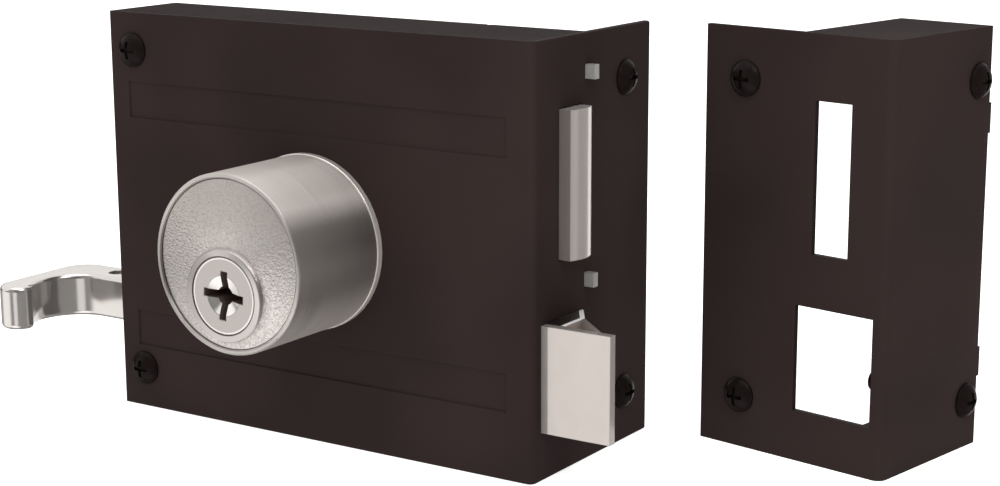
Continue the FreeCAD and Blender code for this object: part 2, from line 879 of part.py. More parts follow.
def pinion_half_tooth(points_on_flank):
    """Points of one flank from root to tip, as (radius, angle from the tooth's centre line)."""
    pressure = math.radians(float(size.pressure_angle))
    pitch = float(pitch_radius)
    base = pitch * math.cos(pressure)
    module = float(size.tooth_module)
    thickness = module * (math.pi / 2 + 2 * float(size.profile_shift) * math.tan(pressure)) - float(size.backlash)
    half_at_pitch = thickness / 2 / pitch
    tip = float(pinion_tip)
    root_radius = float(rack_tip) - float(size.root_gap)
    flank = [(root_radius, half_at_pitch + involute(pressure))]
    for step in range(points_on_flank + 1):
        radius = base + (tip - base) * step / points_on_flank
        at_radius = math.acos(base / radius)
        flank.append((radius, half_at_pitch + involute(pressure) - involute(at_radius)))
    return flank


def make_pinion():
    flank = pinion_half_tooth(ARC_STEPS)
    start = float(pinion_front)

    def at(radius, angle):
        return FreeCAD.Vector(radius * math.sin(angle), start, radius * math.cos(angle))

    edges = []
    step = 2 * math.pi / PINION_TEETH
    for tooth in range(PINION_TEETH):
        centre = step * (tooth + 0.5)
        rising = [at(radius, centre - angle) for radius, angle in flank]
        falling = [at(radius, centre + angle) for radius, angle in reversed(flank)]
        edges.append(Part.LineSegment(rising[0], rising[1]).toShape())
        edges.append(interpolated(rising[1:]))
        tip_middle = at(flank[-1][0], centre)
        edges.append(Part.Arc(rising[-1], tip_middle, falling[0]).toShape())
        edges.append(interpolated(falling[:-1]))
        edges.append(Part.LineSegment(falling[-2], falling[-1]).toShape())
        next_start = at(flank[0][0], centre + step - flank[0][1])
        root_middle = at(flank[0][0], centre + step / 2)
        edges.append(Part.Arc(falling[-1], root_middle, next_start).toShape())
    wheel = Part.Face(Part.Wire(edges)).extrude(FreeCAD.Vector(0, float(size.pinion_width), 0))
    bore = Part.makeCylinder(
        float(size.tail_dia) / 2, float(size.pinion_width), FreeCAD.Vector(0, start, 0), FreeCAD.Vector(0, 1, 0)
    )
    feature = doc.addObject("Part::Feature", "Pinion")
    feature.Shape = wheel.cut(bore)
    keep(feature, "pinion", frame=(LOCK[0] + plug_x, LOCK[1], LOCK[2] + plug_z))


def interpolated(points):
    curve = Part.BSplineCurve()
    curve.interpolate(points)
    return curve.toShape()


# Deadbolt: head with a rounded nose, riveted to the slide that carries the rack
def make_deadbolt():
    body = new_body("Deadbolt")
    plan = new_sketch(body, "xy", size.deadbolt_bottom)
    front = size.deadbolt_front
    back = front + size.deadbolt_thickness
    behind_centre = size.deadbolt_thickness - size.nose_centre
    squared = size.nose_radius * size.nose_radius
    nose_x = size.deadbolt_proud - root(squared - size.nose_centre * size.nose_centre)
    back_x = nose_x + root(squared - behind_centre * behind_centre)
    draw_loop(
        plan,
        [
            (-size.deadbolt_length, front),
            (size.deadbolt_proud, front, size.nose_radius),
            (back_x, back),
            (-size.deadbolt_length, back),
        ],
    )
    pad(body, plan, size.deadbolt_height)
    middle = size.deadbolt_bottom + size.deadbolt_height / 2
    slot = box(
        -size.deadbolt_length,
        slide_front,
        middle - size.tongue_height / 2,
        size.slide_lap,
        size.slide,
        size.tongue_height,
    )
    rivet_x = -size.deadbolt_length + size.slide_lap / 2
    holes = []
    rivets = []
    for side in (-1, 1):
        height = middle + size.rivets_apart / 2 * side
        holes.append(rod(rivet_x, front, height, size.rivet_dia, size.deadbolt_thickness))
        rivets.append(rod(rivet_x, front, height, size.rivet_dia, size.deadbolt_thickness))
    keep(cut(body, slot, *holes), "deadbolt")
    keep(group(*rivets), "deadbolt_rivets")


def make_slide():
    middle = size.deadbolt_bottom + size.deadbolt_height / 2
    tongue_right = -size.deadbolt_length + size.slide_lap
    lower_edge = plug_z + rack_root
    slope = math.tan(math.radians(float(size.pressure_angle)))
    deep = rack_root - rack_line
    half_line = tooth_pitch / 4 - size.backlash / 4
    half_root = half_line + deep * slope
    half_tip = half_line - (rack_line - rack_tip) * slope
    teeth = PINION_TEETH * KEY_TURNS + RACK_SPARE_TEETH + 1
    points = [
        (tongue_right, middle - size.tongue_height / 2),
        (tongue_right, middle + size.tongue_height / 2),
        (-size.slide_neck, middle + size.tongue_height / 2),
        (-size.slide_neck, size.slide_top),
        (-size.slide_left, size.slide_top),
        (-size.slide_left, lower_edge),
    ]
    for number in range(teeth):
        centre = plug_x - tooth_pitch * (teeth - 1 - RACK_SPARE_TEETH / 2 - number)
        points += [
            (centre - half_root, lower_edge),
            (centre - half_tip, plug_z + rack_tip),
            (centre + half_tip, plug_z + rack_tip),
            (centre + half_root, lower_edge),
        ]
    points += [(-size.slide_neck, lower_edge), (-size.slide_neck, middle - size.tongue_height / 2)]
    body = new_body("DeadboltSlide")
    plate = new_sketch(body, "xz", slide_front)
    draw_loop(plate, points)
    pad(body, plate, size.slide)
    slot = new_sketch(body, "xz", slide_front)
    half = size.post_dia / 2 + size.post_gap
    right = -size.near_post
    left = -size.far_post - deadbolt_throw - size.side_gap
    draw_loop(
        slot,
        [
            (left, size.post_height - half),
            (right, size.post_height - half, half),
            (right + half, size.post_height, half),
            (right, size.post_height + half),
            (left, size.post_height + half, half),
            (left - half, size.post_height, half),
        ],
    )
    pocket(body, slot, size.slide)
    rivet_x = -size.deadbolt_length + size.slide_lap / 2
    holes = []
    for side in (-1, 1):
        holes.append(rod(rivet_x, slide_front, middle + size.rivets_apart / 2 * side, size.rivet_dia, size.slide))
    keep(cut(body, *holes), "deadbolt_slide")


def make_guide_posts():
    posts = []
    for distance in (size.near_post, size.far_post):
        shoulder_front = slide_back + size.side_gap
        shoulder = rod(-distance, shoulder_front, size.post_height, size.post_shoulder, inner_back - shoulder_front)
        front = slide_front - size.side_gap
        pin = rod(-distance, front, size.post_height, size.post_dia, shoulder_front - front)
        posts.append(fuse(shoulder, pin))
    keep(group(*posts), "guide_posts")


# Latch: hollow die-cast wedge that the shut gate draws back, and its bar
def make_latch_bolt():
    front = size.latch_front
    back = front + size.latch_thickness
    lip = front + size.latch_face_wall
    nose = size.latch_throw
    bevel_foot = nose - size.latch_lip
    knee = front + size.latch_knee
    shoulder_x = -size.wall - size.side_gap
    body = new_body("LatchBolt")
    head = new_sketch(body, "xy", size.latch_bottom)
    draw_loop(
        head,
        [(-size.latch_length, front), (nose, front), (nose, lip), (bevel_foot, lip), (size.latch_rib, knee), (0, back), (-size.latch_length, back)],
    )
    pad(body, head, size.latch_height)
    block = new_sketch(body, "xy", size.latch_bottom - size.latch_shoulder)
    draw_box(block, -size.latch_length, front, size.latch_length + shoulder_x, size.latch_thickness)
    pad(body, block, size.latch_height + size.latch_shoulder * 2)

    outer_run = bevel_foot - size.latch_rib
    outer_rise = knee - lip
    outer_inset = size.latch_wall * root(outer_run * outer_run + outer_rise * outer_rise) / outer_rise
    inner_run = size.latch_rib
    inner_rise = back - knee
    inner_inset = size.latch_wall * root(inner_run * inner_run + inner_rise * inner_rise) / inner_rise
    rib_left = size.latch_rib - size.latch_wall
    top = size.latch_bottom + size.latch_height + size.latch_shoulder
    bottom = size.latch_bottom - size.latch_shoulder
    depth = size.latch_pocket_depth + size.latch_shoulder
    back_inside = back - size.latch_wall
    right_pocket = [
        (size.latch_rib, lip),
        (bevel_foot - outer_inset, lip),
        (size.latch_rib, knee - outer_inset * outer_rise / outer_run),
    ]
    left_pocket = [
        (-size.latch_pocket_left, lip),
        (rib_left, lip),
        (rib_left, knee + (size.latch_wall - inner_inset) * inner_rise / inner_run),
        (size.latch_wall * inner_run / inner_rise - inner_inset, back_inside),
        (-size.latch_pocket_left, back_inside),
    ]
    for level, toward in ((top, -1), (bottom, 1)):
        for outline in (right_pocket, left_pocket):
            sketch = new_sketch(body, "xy", level)
            draw_loop(sketch, outline)
            pocket(body, sketch, depth, toward=toward)
    bar_slot = box(-size.latch_length, bar_front, bar_bottom, size.tail_bar_lap, size.tail_bar_width, size.tail_bar)
    pin_x = -size.latch_length + size.tail_bar_lap / 2
    pin_bottom = size.tail_bar_height - size.latch_pin_length / 2
    pin_hole = rod(pin_x, size.tail_bar_depth, pin_bottom, size.latch_pin_dia, size.latch_pin_length, axis="z")
    keep(cut(body, bar_slot, pin_hole), "latch_bolt")
    pin = rod(pin_x, size.tail_bar_depth, pin_bottom, size.latch_pin_dia, size.latch_pin_length, axis="z")
    keep(pin_in_lock(pin), "latch_pin")


def pin_in_lock(pin):
    """A primitive that is itself a finished piece, in a group so that it keeps its own place."""
    return group(pin)


def make_latch_bar():
    right = -size.latch_length + size.tail_bar_lap
    left = pull_pin_x - size.pull_slot_end + size.side_gap
    shoulder = size.slot_gap - size.case_width - size.pull_gap
    flat = box(shoulder, bar_front, bar_bottom, right - shoulder, size.tail_bar_width, size.tail_bar)
    tongue_front = size.tail_bar_depth - size.pull_tongue / 2
    tongue = box(left, tongue_front, bar_bottom, shoulder - left, size.pull_tongue, size.tail_bar)
    pin_x = -size.latch_length + size.tail_bar_lap / 2
    inner_hole = rod(pin_x, size.tail_bar_depth, bar_bottom, size.latch_pin_dia, size.tail_bar, axis="z")
    outer_hole = rod(pull_pin_x, size.tail_bar_depth, bar_bottom, size.pull_pin_dia, size.tail_bar, axis="z")
    keep(cut(fuse(flat, tongue), inner_hole, outer_hole), "latch_bar")


def make_finger_pull():
    body = new_body("FingerPull")
    bottom = size.tail_bar_height - size.pull_height / 2
    right = -(size.case_width + size.pull_gap)
    arc_x = -(size.case_width + size.pull_arc_place)
    arc_y = pull_front - size.pull_arc
    side_x = arc_x - size.pull_arc
    outer_x = side_x - size.pull_arm
    tip_y = -size.pull_tip_centre
    drop = arc_y - tip_y
    inner_end_x = arc_x - root(size.pull_arc * size.pull_arc - drop * drop)
    tip_radius = (inner_end_x - outer_x) / 2
    plan = new_sketch(body, "xy", bottom)
    draw_loop(
        plan,
        [
            (right, pull_front),
            (right, pull_back),
            (outer_x + size.pull_corner, pull_back, size.pull_corner),
            (outer_x, pull_back - size.pull_corner),
            (outer_x, tip_y, tip_radius),
            (outer_x + tip_radius, tip_y - tip_radius, tip_radius),
            (inner_end_x, tip_y, -size.pull_arc),
            (side_x, arc_y, -size.pull_arc),
            (arc_x, pull_front),
        ],
    )
    pad(body, plan, size.pull_height)
    round_edges(
        body,
        size.pull_round,
        lambda e: abs(e.BoundBox.ZLength) < 1e-6 and e.BoundBox.XMin < float(right) - 1e-3,
    )
    slot = box(
        pull_pin_x - size.pull_slot_end,
        size.tail_bar_depth - (size.pull_tongue + size.slot_gap) / 2,
        bar_bottom - size.slot_gap / 2,
        size.pull_pin_place + size.pull_slot_end,
        size.pull_tongue + size.slot_gap,
        size.tail_bar + size.slot_gap,
    )
    hole = rod(pull_pin_x, size.tail_bar_depth, bottom, size.pull_pin_dia, size.pull_height, axis="z")
    keep(cut(body, slot, hole), "finger_pull")
    pin_length = size.pull_height - size.pull_pin_sunk * 2
    pin = rod(pull_pin_x, size.tail_bar_depth, bottom + size.pull_pin_sunk, size.pull_pin_dia, pin_length, axis="z")
    keep(pin_in_lock(pin), "pull_pin")


def make_latch_spring():
    """A coil round the latch bar, from the latch bolt to the bracket, on quarter-turn arcs."""
    wire = float(size.spring_wire)
    radius = (float(size.spring_dia) - wire) / 2
    first = -float(size.bracket_place) + wire / 2
    last = -float(size.latch_length) - wire / 2
    rise = (last - first) / SPRING_TURNS
    middle_y = float(size.tail_bar_depth)
    middle_z = float(size.tail_bar_height)

    def at(turn):
        angle = 2 * math.pi * turn
        return FreeCAD.Vector(
            first + rise * turn, middle_y + radius * math.cos(angle), middle_z + radius * math.sin(angle)
        )

    quarter = 0.25
    edges = []
    for step in range(SPRING_TURNS * 4):
        turn = step * quarter
        edges.append(Part.Arc(at(turn), at(turn + quarter / 2), at(turn + quarter)).toShape())
    path = Part.Wire(edges)
    corners = []
    for corner in range(WIRE_SIDES):
        angle = 2 * math.pi * (corner + 0.5) / WIRE_SIDES
        reach = FreeCAD.Vector(wire / 2 * math.sin(angle), wire / 2 * math.cos(angle), 0)
        corners.append(at(0) + reach)
    section = Part.Wire(Part.makePolygon(corners + corners[:1]))
    feature = doc.addObject("Part::Feature", "LatchSpring")
    feature.Shape = path.makePipeShell([section], True, False)
    keep(feature, "latch_spring")


def make_latch_bracket():
    left = -size.bracket_place - size.bracket
    bottom = size.tail_bar_height - size.bracket_height / 2
    upright = box(left, size.wall, bottom, size.bracket, size.bracket_reach, size.bracket_height)
    foot = box(
        left - size.bracket_foot, size.wall, bottom, size.bracket_foot + size.bracket, size.bracket, size.bracket_height
    )
    gap = size.slot_gap
    slot = box(
        left,
        bar_front - gap,
        bar_bottom - gap,
        size.bracket,
        size.bracket_reach,
        size.tail_bar + gap * 2,
    )
    keep(cut(fuse(upright, foot), slot), "latch_bracket")


# Screws with domed heads and a cross recess
def screw(length, neck):
    """One screw along +Y, with the seat of its head at the origin and the head towards -Y."""
    radius = size.screw_head_dia / 2
    rim = size.screw_rim
    rise = size.screw_head - rim
    ball_radius = (radius * radius + rise * rise) / (rise * 2)
    ball = doc.addObject("Part::Sphere", "Ball")
    bind(ball, "Radius", ball_radius)
    place(ball, 0, ball_radius - size.screw_head, 0)
    reach = size.screw_head_dia
    dome = common(ball, box(-reach, -reach, -reach, reach * 2, reach - rim, reach * 2))
    disc = rod(0, -rim, 0, size.screw_head_dia, rim)
    collar = rod(0, 0, 0, size.screw_neck_dia, neck)
    shank = rod(0, neck, 0, size.screw_shank_dia, length - neck)
    half = size.screw_recess / 2
    thin = size.screw_recess_width
    depth = size.screw_recess_depth
    flat = box(-half, -size.screw_head, -thin / 2, size.screw_recess, depth, thin)
    upright = box(-thin / 2, -size.screw_head, -half, thin, depth, size.screw_recess)
    return cut(fuse(dome, disc, collar, shank), flat, upright)


def set_screw(length, x, y, z, turn=0, through=size.wall):
    """A screw moved to its place; turn 0 points its shank along +Y, 90 along -X. Its neck fills the
    hole through the sheet and ends a little past it."""
    piece = screw(length, through + size.screw_neck_past)
    piece.Placement.Rotation = FreeCAD.Rotation(FreeCAD.Vector(0, 0, 1), turn)
    place(piece, x, y, z)
    return piece


def make_lock_screws():
    gate = []
    for height in gate_screw_heights:
        gate.append(set_screw(size.gate_screw_length, -size.gate_screw_place, 0, height, through=size.case_depth))
    keep(group(*gate), "gate_screws")
    edge = [set_screw(size.edge_screw_length, 0, size.edge_screw_depth, height, turn=90) for height in edge_screw_heights]
    keep(group(*edge), "edge_screws")
    tubes = []
    for height in gate_screw_heights:
        tube = rod(-size.gate_screw_place, size.wall, height, size.tube_dia, inner_back - size.wall)
        bore = rod(-size.gate_screw_place, size.wall, height, screw_hole_dia, inner_back - size.wall)
        tubes.append(cut(tube, bore))
    keep(group(*tubes), "spacer_tubes")


def make_cover_screws():
    pillars = []
    screws = []
    for height in pillar_heights:
        x = -size.pillar_place
        pillar = rod(x, size.wall, height, size.pillar_dia, inner_back - size.wall)
        thread_start = size.case_depth - size.cover_screw_length
        thread = rod(x, thread_start, height, size.cover_screw_dia, size.cover_screw_length)
        pillars.append(cut(pillar, thread))
        shank = rod(x, thread_start, height, size.cover_screw_dia, size.cover_screw_length - size.cover)
        head = taper(x, inner_back, height, size.cover_screw_dia, size.cover_screw_head, size.cover)
        half = size.cover_screw_head / 2
        thin = size.screw_recess_width
        slot = box(x - half, size.case_depth - thin, height - thin / 2, size.cover_screw_head, thin, thin)
        screws.append(cut(fuse(shank, head), slot))
    keep(group(*pillars), "cover_pillars")
    keep(group(*screws), "cover_screws")


# Strike box for the gate post: its own frame has x = 0 at the flange's far edge,
# y = 0 at the face with the openings and z = 0 at the bottom
STRIKE = (size.backset + size.strike_aside, size.strike_back - size.case_depth, -size.cylinder_height)
strike_turn = -size.strike_turn
strike_inner = size.strike_width - size.strike_box_depth
lug_bottoms = (size.case_height - size.lug_from_top, size.lower_lug)
strike_edge_heights = (size.case_height - size.strike_edge_from_top, size.strike_edge_lower)
strike_face_heights = (size.case_height - size.strike_face_from_top, size.strike_face_lower)


def make_strike_box():
    wall = size.wall
    body = new_body("StrikeBox")
    plate = new_sketch(body, "xy")
    draw_loop(
        plate,
        [
            (0, 0),
            (size.strike_width, 0),
            (size.strike_width, size.strike_length - size.end_plate),
            (size.strike_width - wall, size.strike_length - size.end_plate),
            (size.strike_width - wall, wall),
            (0, wall),
        ],
    )
    pad(body, plate, size.case_height)
    lids = new_sketch(body, "xy")
    lid_length = size.strike_length - size.end_plate
    draw_box(lids, strike_inner, 0, size.strike_box_depth, lid_length)
    pad(body, lids, wall)
    upper_lid = new_sketch(body, "xy", size.case_height)
    draw_box(upper_lid, strike_inner, 0, size.strike_box_depth, lid_length)
    pad(body, upper_lid, wall, toward=-1)
    round_edges(body, size.strike_bend, lambda e: spans(e, "z", x=size.strike_width, y=0))

    gap = size.strike_slot_gap
    mouths = new_sketch(body, "xz")
    draw_box(
        mouths,
        size.strike_width - size.deadbolt_front - size.deadbolt_thickness - gap,
        size.deadbolt_bottom - gap,
        size.deadbolt_thickness + gap * 2,
        size.deadbolt_height + gap * 4,
    )
    draw_box(
        mouths,
        size.strike_width - size.strike_mouth_rear,
        size.latch_bottom + gap * 2,
        size.strike_mouth_rear - size.latch_front + gap,
        size.latch_height + gap,
    )
    for height in strike_edge_heights:
        draw_circle(mouths, size.strike_edge_screw, height, screw_hole_dia)
    pocket(body, mouths, wall)

    side = new_sketch(body, "yz", size.strike_width)
    for height in strike_face_heights:
        draw_circle(side, size.strike_length - size.strike_face_screw, height, screw_hole_dia)
    pocket(body, side, wall, toward=-1)

    lugs = new_sketch(body, "yz", size.strike_width)
    for bottom in lug_bottoms:
        draw_box(
            lugs, size.strike_length - size.end_plate, bottom, size.end_plate + size.lug_proud, size.lug_height
        )
    pad(body, lugs, wall, toward=-1)
    keep(body, "strike_box", frame=STRIKE, turn=strike_turn)


def make_strike_end_plate():
    start = size.strike_length - size.end_plate
    plate = box(strike_inner, start, 0, size.strike_box_depth, size.end_plate, size.case_height)
    notches = []
    for bottom in lug_bottoms:
        notches.append(
            box(size.strike_width - size.wall, start, bottom, size.wall, size.end_plate, size.lug_height)
        )
    keep(cut(plate, *notches), "strike_end_plate", frame=STRIKE, turn=strike_turn)


def make_strike_screws():
    length = size.edge_screw_length
    edge = [set_screw(length, size.strike_edge_screw, 0, z) for z in strike_edge_heights]
    keep(group(*edge), "strike_edge_screws", frame=STRIKE, turn=strike_turn)
    face_y = size.strike_length - size.strike_face_screw
    face = [set_screw(size.strike_screw_length, size.strike_width, face_y, z, turn=90) for z in strike_face_heights]
    keep(group(*face), "strike_face_screws", frame=STRIKE, turn=strike_turn)


make_case()
make_back_cover()
make_rose()
make_housing()
make_plug()
make_pin_stacks()
make_plug_clip()
make_clamp()
make_pinion()
make_deadbolt()
make_slide()
make_guide_posts()
make_latch_bolt()
make_latch_bar()
make_finger_pull()
make_latch_spring()
make_latch_bracket()
make_lock_screws()
make_cover_screws()
make_strike_box()
make_strike_end_plate()
make_strike_screws()
doc.recompute()

for thing in doc.Objects:
    if "Invalid" in thing.State or "Error" in thing.State:
        raise RuntimeError("%s did not build: %s" % (thing.Name, thing.State))
for label, piece in pieces.items():
    if piece.Shape.isNull() or not piece.Shape.isValid() or not piece.Shape.Solids:
        raise RuntimeError("%s has no valid solid" % label)

os.makedirs("parts", exist_ok=True)
for label, piece in pieces.items():
    piece.Shape.exportStep("parts/%s.step" % label)
    low, high = piece.Shape.BoundBox.ZMin, piece.Shape.BoundBox.ZMax
    print("%-20s %2d solids, %9.1f mm3, z %.2f to %.2f" % (label, len(piece.Shape.Solids), piece.Shape.Volume, low, high))
print("deadbolt throw %.3f mm" % deadbolt_throw.number)
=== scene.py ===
import math

import bmesh
import bpy
from mathutils import Matrix, Vector


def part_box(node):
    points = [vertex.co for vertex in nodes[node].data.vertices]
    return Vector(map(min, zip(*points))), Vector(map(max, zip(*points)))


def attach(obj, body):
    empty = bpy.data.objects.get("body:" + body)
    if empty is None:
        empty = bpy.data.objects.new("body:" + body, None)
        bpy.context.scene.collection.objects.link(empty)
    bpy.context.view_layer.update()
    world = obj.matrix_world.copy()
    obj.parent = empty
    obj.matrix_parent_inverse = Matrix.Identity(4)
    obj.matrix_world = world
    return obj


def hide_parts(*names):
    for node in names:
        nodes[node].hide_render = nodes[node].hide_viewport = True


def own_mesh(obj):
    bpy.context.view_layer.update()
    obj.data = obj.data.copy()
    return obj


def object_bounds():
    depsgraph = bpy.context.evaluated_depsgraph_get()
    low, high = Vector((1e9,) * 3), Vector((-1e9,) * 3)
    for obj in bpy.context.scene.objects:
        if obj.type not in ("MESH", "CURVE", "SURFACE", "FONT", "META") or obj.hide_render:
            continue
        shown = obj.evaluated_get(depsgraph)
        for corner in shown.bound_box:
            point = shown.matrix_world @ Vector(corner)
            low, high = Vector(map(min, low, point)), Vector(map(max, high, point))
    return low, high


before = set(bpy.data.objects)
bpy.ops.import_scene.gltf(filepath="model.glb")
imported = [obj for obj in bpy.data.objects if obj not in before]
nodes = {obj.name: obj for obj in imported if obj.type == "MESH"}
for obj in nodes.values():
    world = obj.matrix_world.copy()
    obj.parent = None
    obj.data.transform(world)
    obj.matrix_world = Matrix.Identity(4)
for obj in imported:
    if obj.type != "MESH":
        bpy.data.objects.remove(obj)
cad_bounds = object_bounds()

MM = 0.001

# Places on the lock, in the shared frame
FIELD_Y = -52.3 * MM
FACE_Y = -53.1 * MM
PLUG_X = -1.0 * MM
PLUG_Z = -7.1 * MM
COLLAR_RADIUS = 10.6 * MM
FIELD_RADIUS = 19.0 * MM
PLUG_RADIUS = 8.7 * MM
# A painted highlight low on the cylinder's face: its centre, and the distances where it is full and where it
# ends
PAINTED_LIGHT_CENTRE = (4 * MM, 0, -18 * MM)
PAINTED_LIGHT_FULL = 10 * MM
PAINTED_LIGHT_REACH = 34 * MM
KEYWAY_TILT = 4.0  # degrees
KEYWAY_HALF = 0.925 * MM
KEYWAY_REACH = 5.55 * MM
FUNNEL_RADIUS = 4.5 * MM
FUNNEL_ROOT = 2.3 * MM
FUNNEL_DEPTH = 2.4 * MM
LATCH_TOP = -12.55 * MM
LATCH_BACK_OF_FACE = -17.3 * MM
LATCH_KNEE_X = 65.2 * MM
SPRING_TURNS = 8
SPRING_WIRE = 1.2 * MM

# Sizes of the surface patterns, as on the real thing
ORANGE_PEEL = 1.1 * MM
COAT_DRIFT = 35 * MM
COINED_SWIRL = 0.8 * MM
TUMBLED_CLOUD = 1.5 * MM
POLISHING_RIPPLE = 6 * MM
CASTING_FLOW = 5 * MM
ZINC_SPANGLE = 5 * MM
SHEET_SCRATCH = 0.7 * MM
ZINC_FILM = 0.9 * MM
# The real size of these is 0.1 to 0.2 mm. That is too fine to show, so they are drawn coarser
SAND_GRAIN = 0.42 * MM
LATHE_LINES = 0.5 * MM
FACING_RINGS = 0.45 * MM
DRAW_LINES = 0.5 * MM
TURNING_MARKS = 0.35 * MM
BRASS_MARKS = 0.3 * MM

# Bright patches low in the studio: direction, cosine at the patch's edge and where it is full, brightness
LOW_GLOWS = (
    ((-0.65, -0.67, -0.37), 0.75, 0.95, 1.22),
    ((-0.24, 0.94, -0.24), 0.80, 0.95, 1.1),
    ((-0.97, -0.10, -0.24), 0.60, 0.90, 0.35),
    ((0.45, 0.86, -0.24), 0.85, 0.97, 0.6),
    ((0.05, -0.68, -0.73), 0.86, 0.97, 1.6),
    ((0.33, -0.92, -0.21), 0.965, 0.99, 0.95),
)
# The same, for patches on the walls that reach down to the horizon
WALL_GLOWS = (
    ((-0.82, -0.56, 0.09), 0.95, 0.99, 1.1),
    ((0.75, 0.65, 0.02), 0.50, 0.85, 0.5),
    ((0.0, -0.99, 0.1), 0.90, 0.97, 0.25),
)
# Directions: the walls are lit on this side of a slanting plane, a dark flag hangs here, and most of the
# soft light comes from here
LIT_SIDE = (-0.81, 0, 0.587)
DARK_FLAG = (0.12, -0.90, 0.42)
SOFT_LIGHT_FROM = (-0.5, -0.87, 0)


# Helpers
def linear(code):
    """Linear red, green, blue and alpha of an sRGB hex value."""
    parts = [int(code[i:i + 2], 16) / 255 for i in (1, 3, 5)]
    return tuple(c / 12.92 if c <= 0.04045 else ((c + 0.055) / 1.055) ** 2.4 for c in parts) + (1.0,)


def add(tree, kind, inputs=None, **settings):
    """One node with its settings; inputs take a constant or the socket that feeds them."""
    node = tree.nodes.new(kind)
    for name, value in settings.items():
        setattr(node, name, value)
    for socket, value in (inputs or {}).items():
        if isinstance(value, bpy.types.NodeSocket):
            tree.links.new(value, node.inputs[socket])
        else:
            node.inputs[socket].default_value = value
    return node


def start_material(name):
    """A new material, with its node tree and its shader."""
    made = bpy.data.materials.new(name)
    made.use_nodes = True
    return made, made.node_tree, made.node_tree.nodes["Principled BSDF"]


def dress(material, *names):
    """Gives solids their finish."""
    for name in names:
        piece = nodes[name]
        piece.data.materials.clear()
        piece.data.materials.append(material)


# Materials
def powder_coat():
    """Polyester powder baked on folded sheet steel: dark brown with a faint orange peel and hardly any
    sheen, and a painted highlight: the coat is drawn lighter along the sharp edges."""
    made, tree, shader = start_material("polyester_powder_coat")
    place = add(tree, "ShaderNodeTexCoord").outputs["Object"]
    peel = add(
        tree, "ShaderNodeTexNoise", {"Vector": place, "Scale": 1 / ORANGE_PEEL, "Detail": 2.0}
    ).outputs["Fac"]
    drift = add(
        tree, "ShaderNodeTexNoise", {"Vector": place, "Scale": 1 / COAT_DRIFT, "Detail": 1.0}
    ).outputs["Fac"]
    drifted = add(
        tree, "ShaderNodeMapRange", {"Value": drift, "From Min": 0.35, "From Max": 0.65}
    ).outputs["Result"]
    brown = add(
        tree,
        "ShaderNodeMix",
        {"Factor": drifted, "A": linear("#282020"), "B": linear("#2d2524")},
        data_type="RGBA",
    ).outputs["Result"]
    rounded = add(tree, "ShaderNodeBevel", {"Radius": 0.45 * MM}, samples=6).outputs["Normal"]
    flat = add(tree, "ShaderNodeNewGeometry").outputs["Normal"]
    agree = add(tree, "ShaderNodeVectorMath", {0: rounded, 1: flat}, operation="DOT_PRODUCT").outputs["Value"]
    # painted highlight: the colour turns lighter along sharp edges, where the rounded normal leaves the flat
    # one
    edge = add(
        tree, "ShaderNodeMapRange", {"Value": agree, "From Min": 0.985, "From Max": 0.9, "To Max": 0.15}
    ).outputs["Result"]
    painted_highlight = add(
        tree, "ShaderNodeMix", {"Factor": edge, "A": brown, "B": linear("#463938")}, data_type="RGBA"
    ).outputs["Result"]
    tree.links.new(painted_highlight, shader.inputs["Base Color"])
    gloss = add(
        tree,
        "ShaderNodeMapRange",
        {"Value": peel, "From Min": 0.3, "From Max": 0.7, "To Min": 0.16, "To Max": 0.2},
    ).outputs["Result"]
    tree.links.new(gloss, shader.inputs["Roughness"])
    bump = add(
        tree, "ShaderNodeBump", {"Height": peel, "Distance": 0.002 * MM, "Normal": rounded}
    ).outputs["Normal"]
    tree.links.new(bump, shader.inputs["Normal"])
    shader.inputs["IOR"].default_value = 1.5
    shader.inputs["Specular IOR Level"].default_value = 0.008
    return made


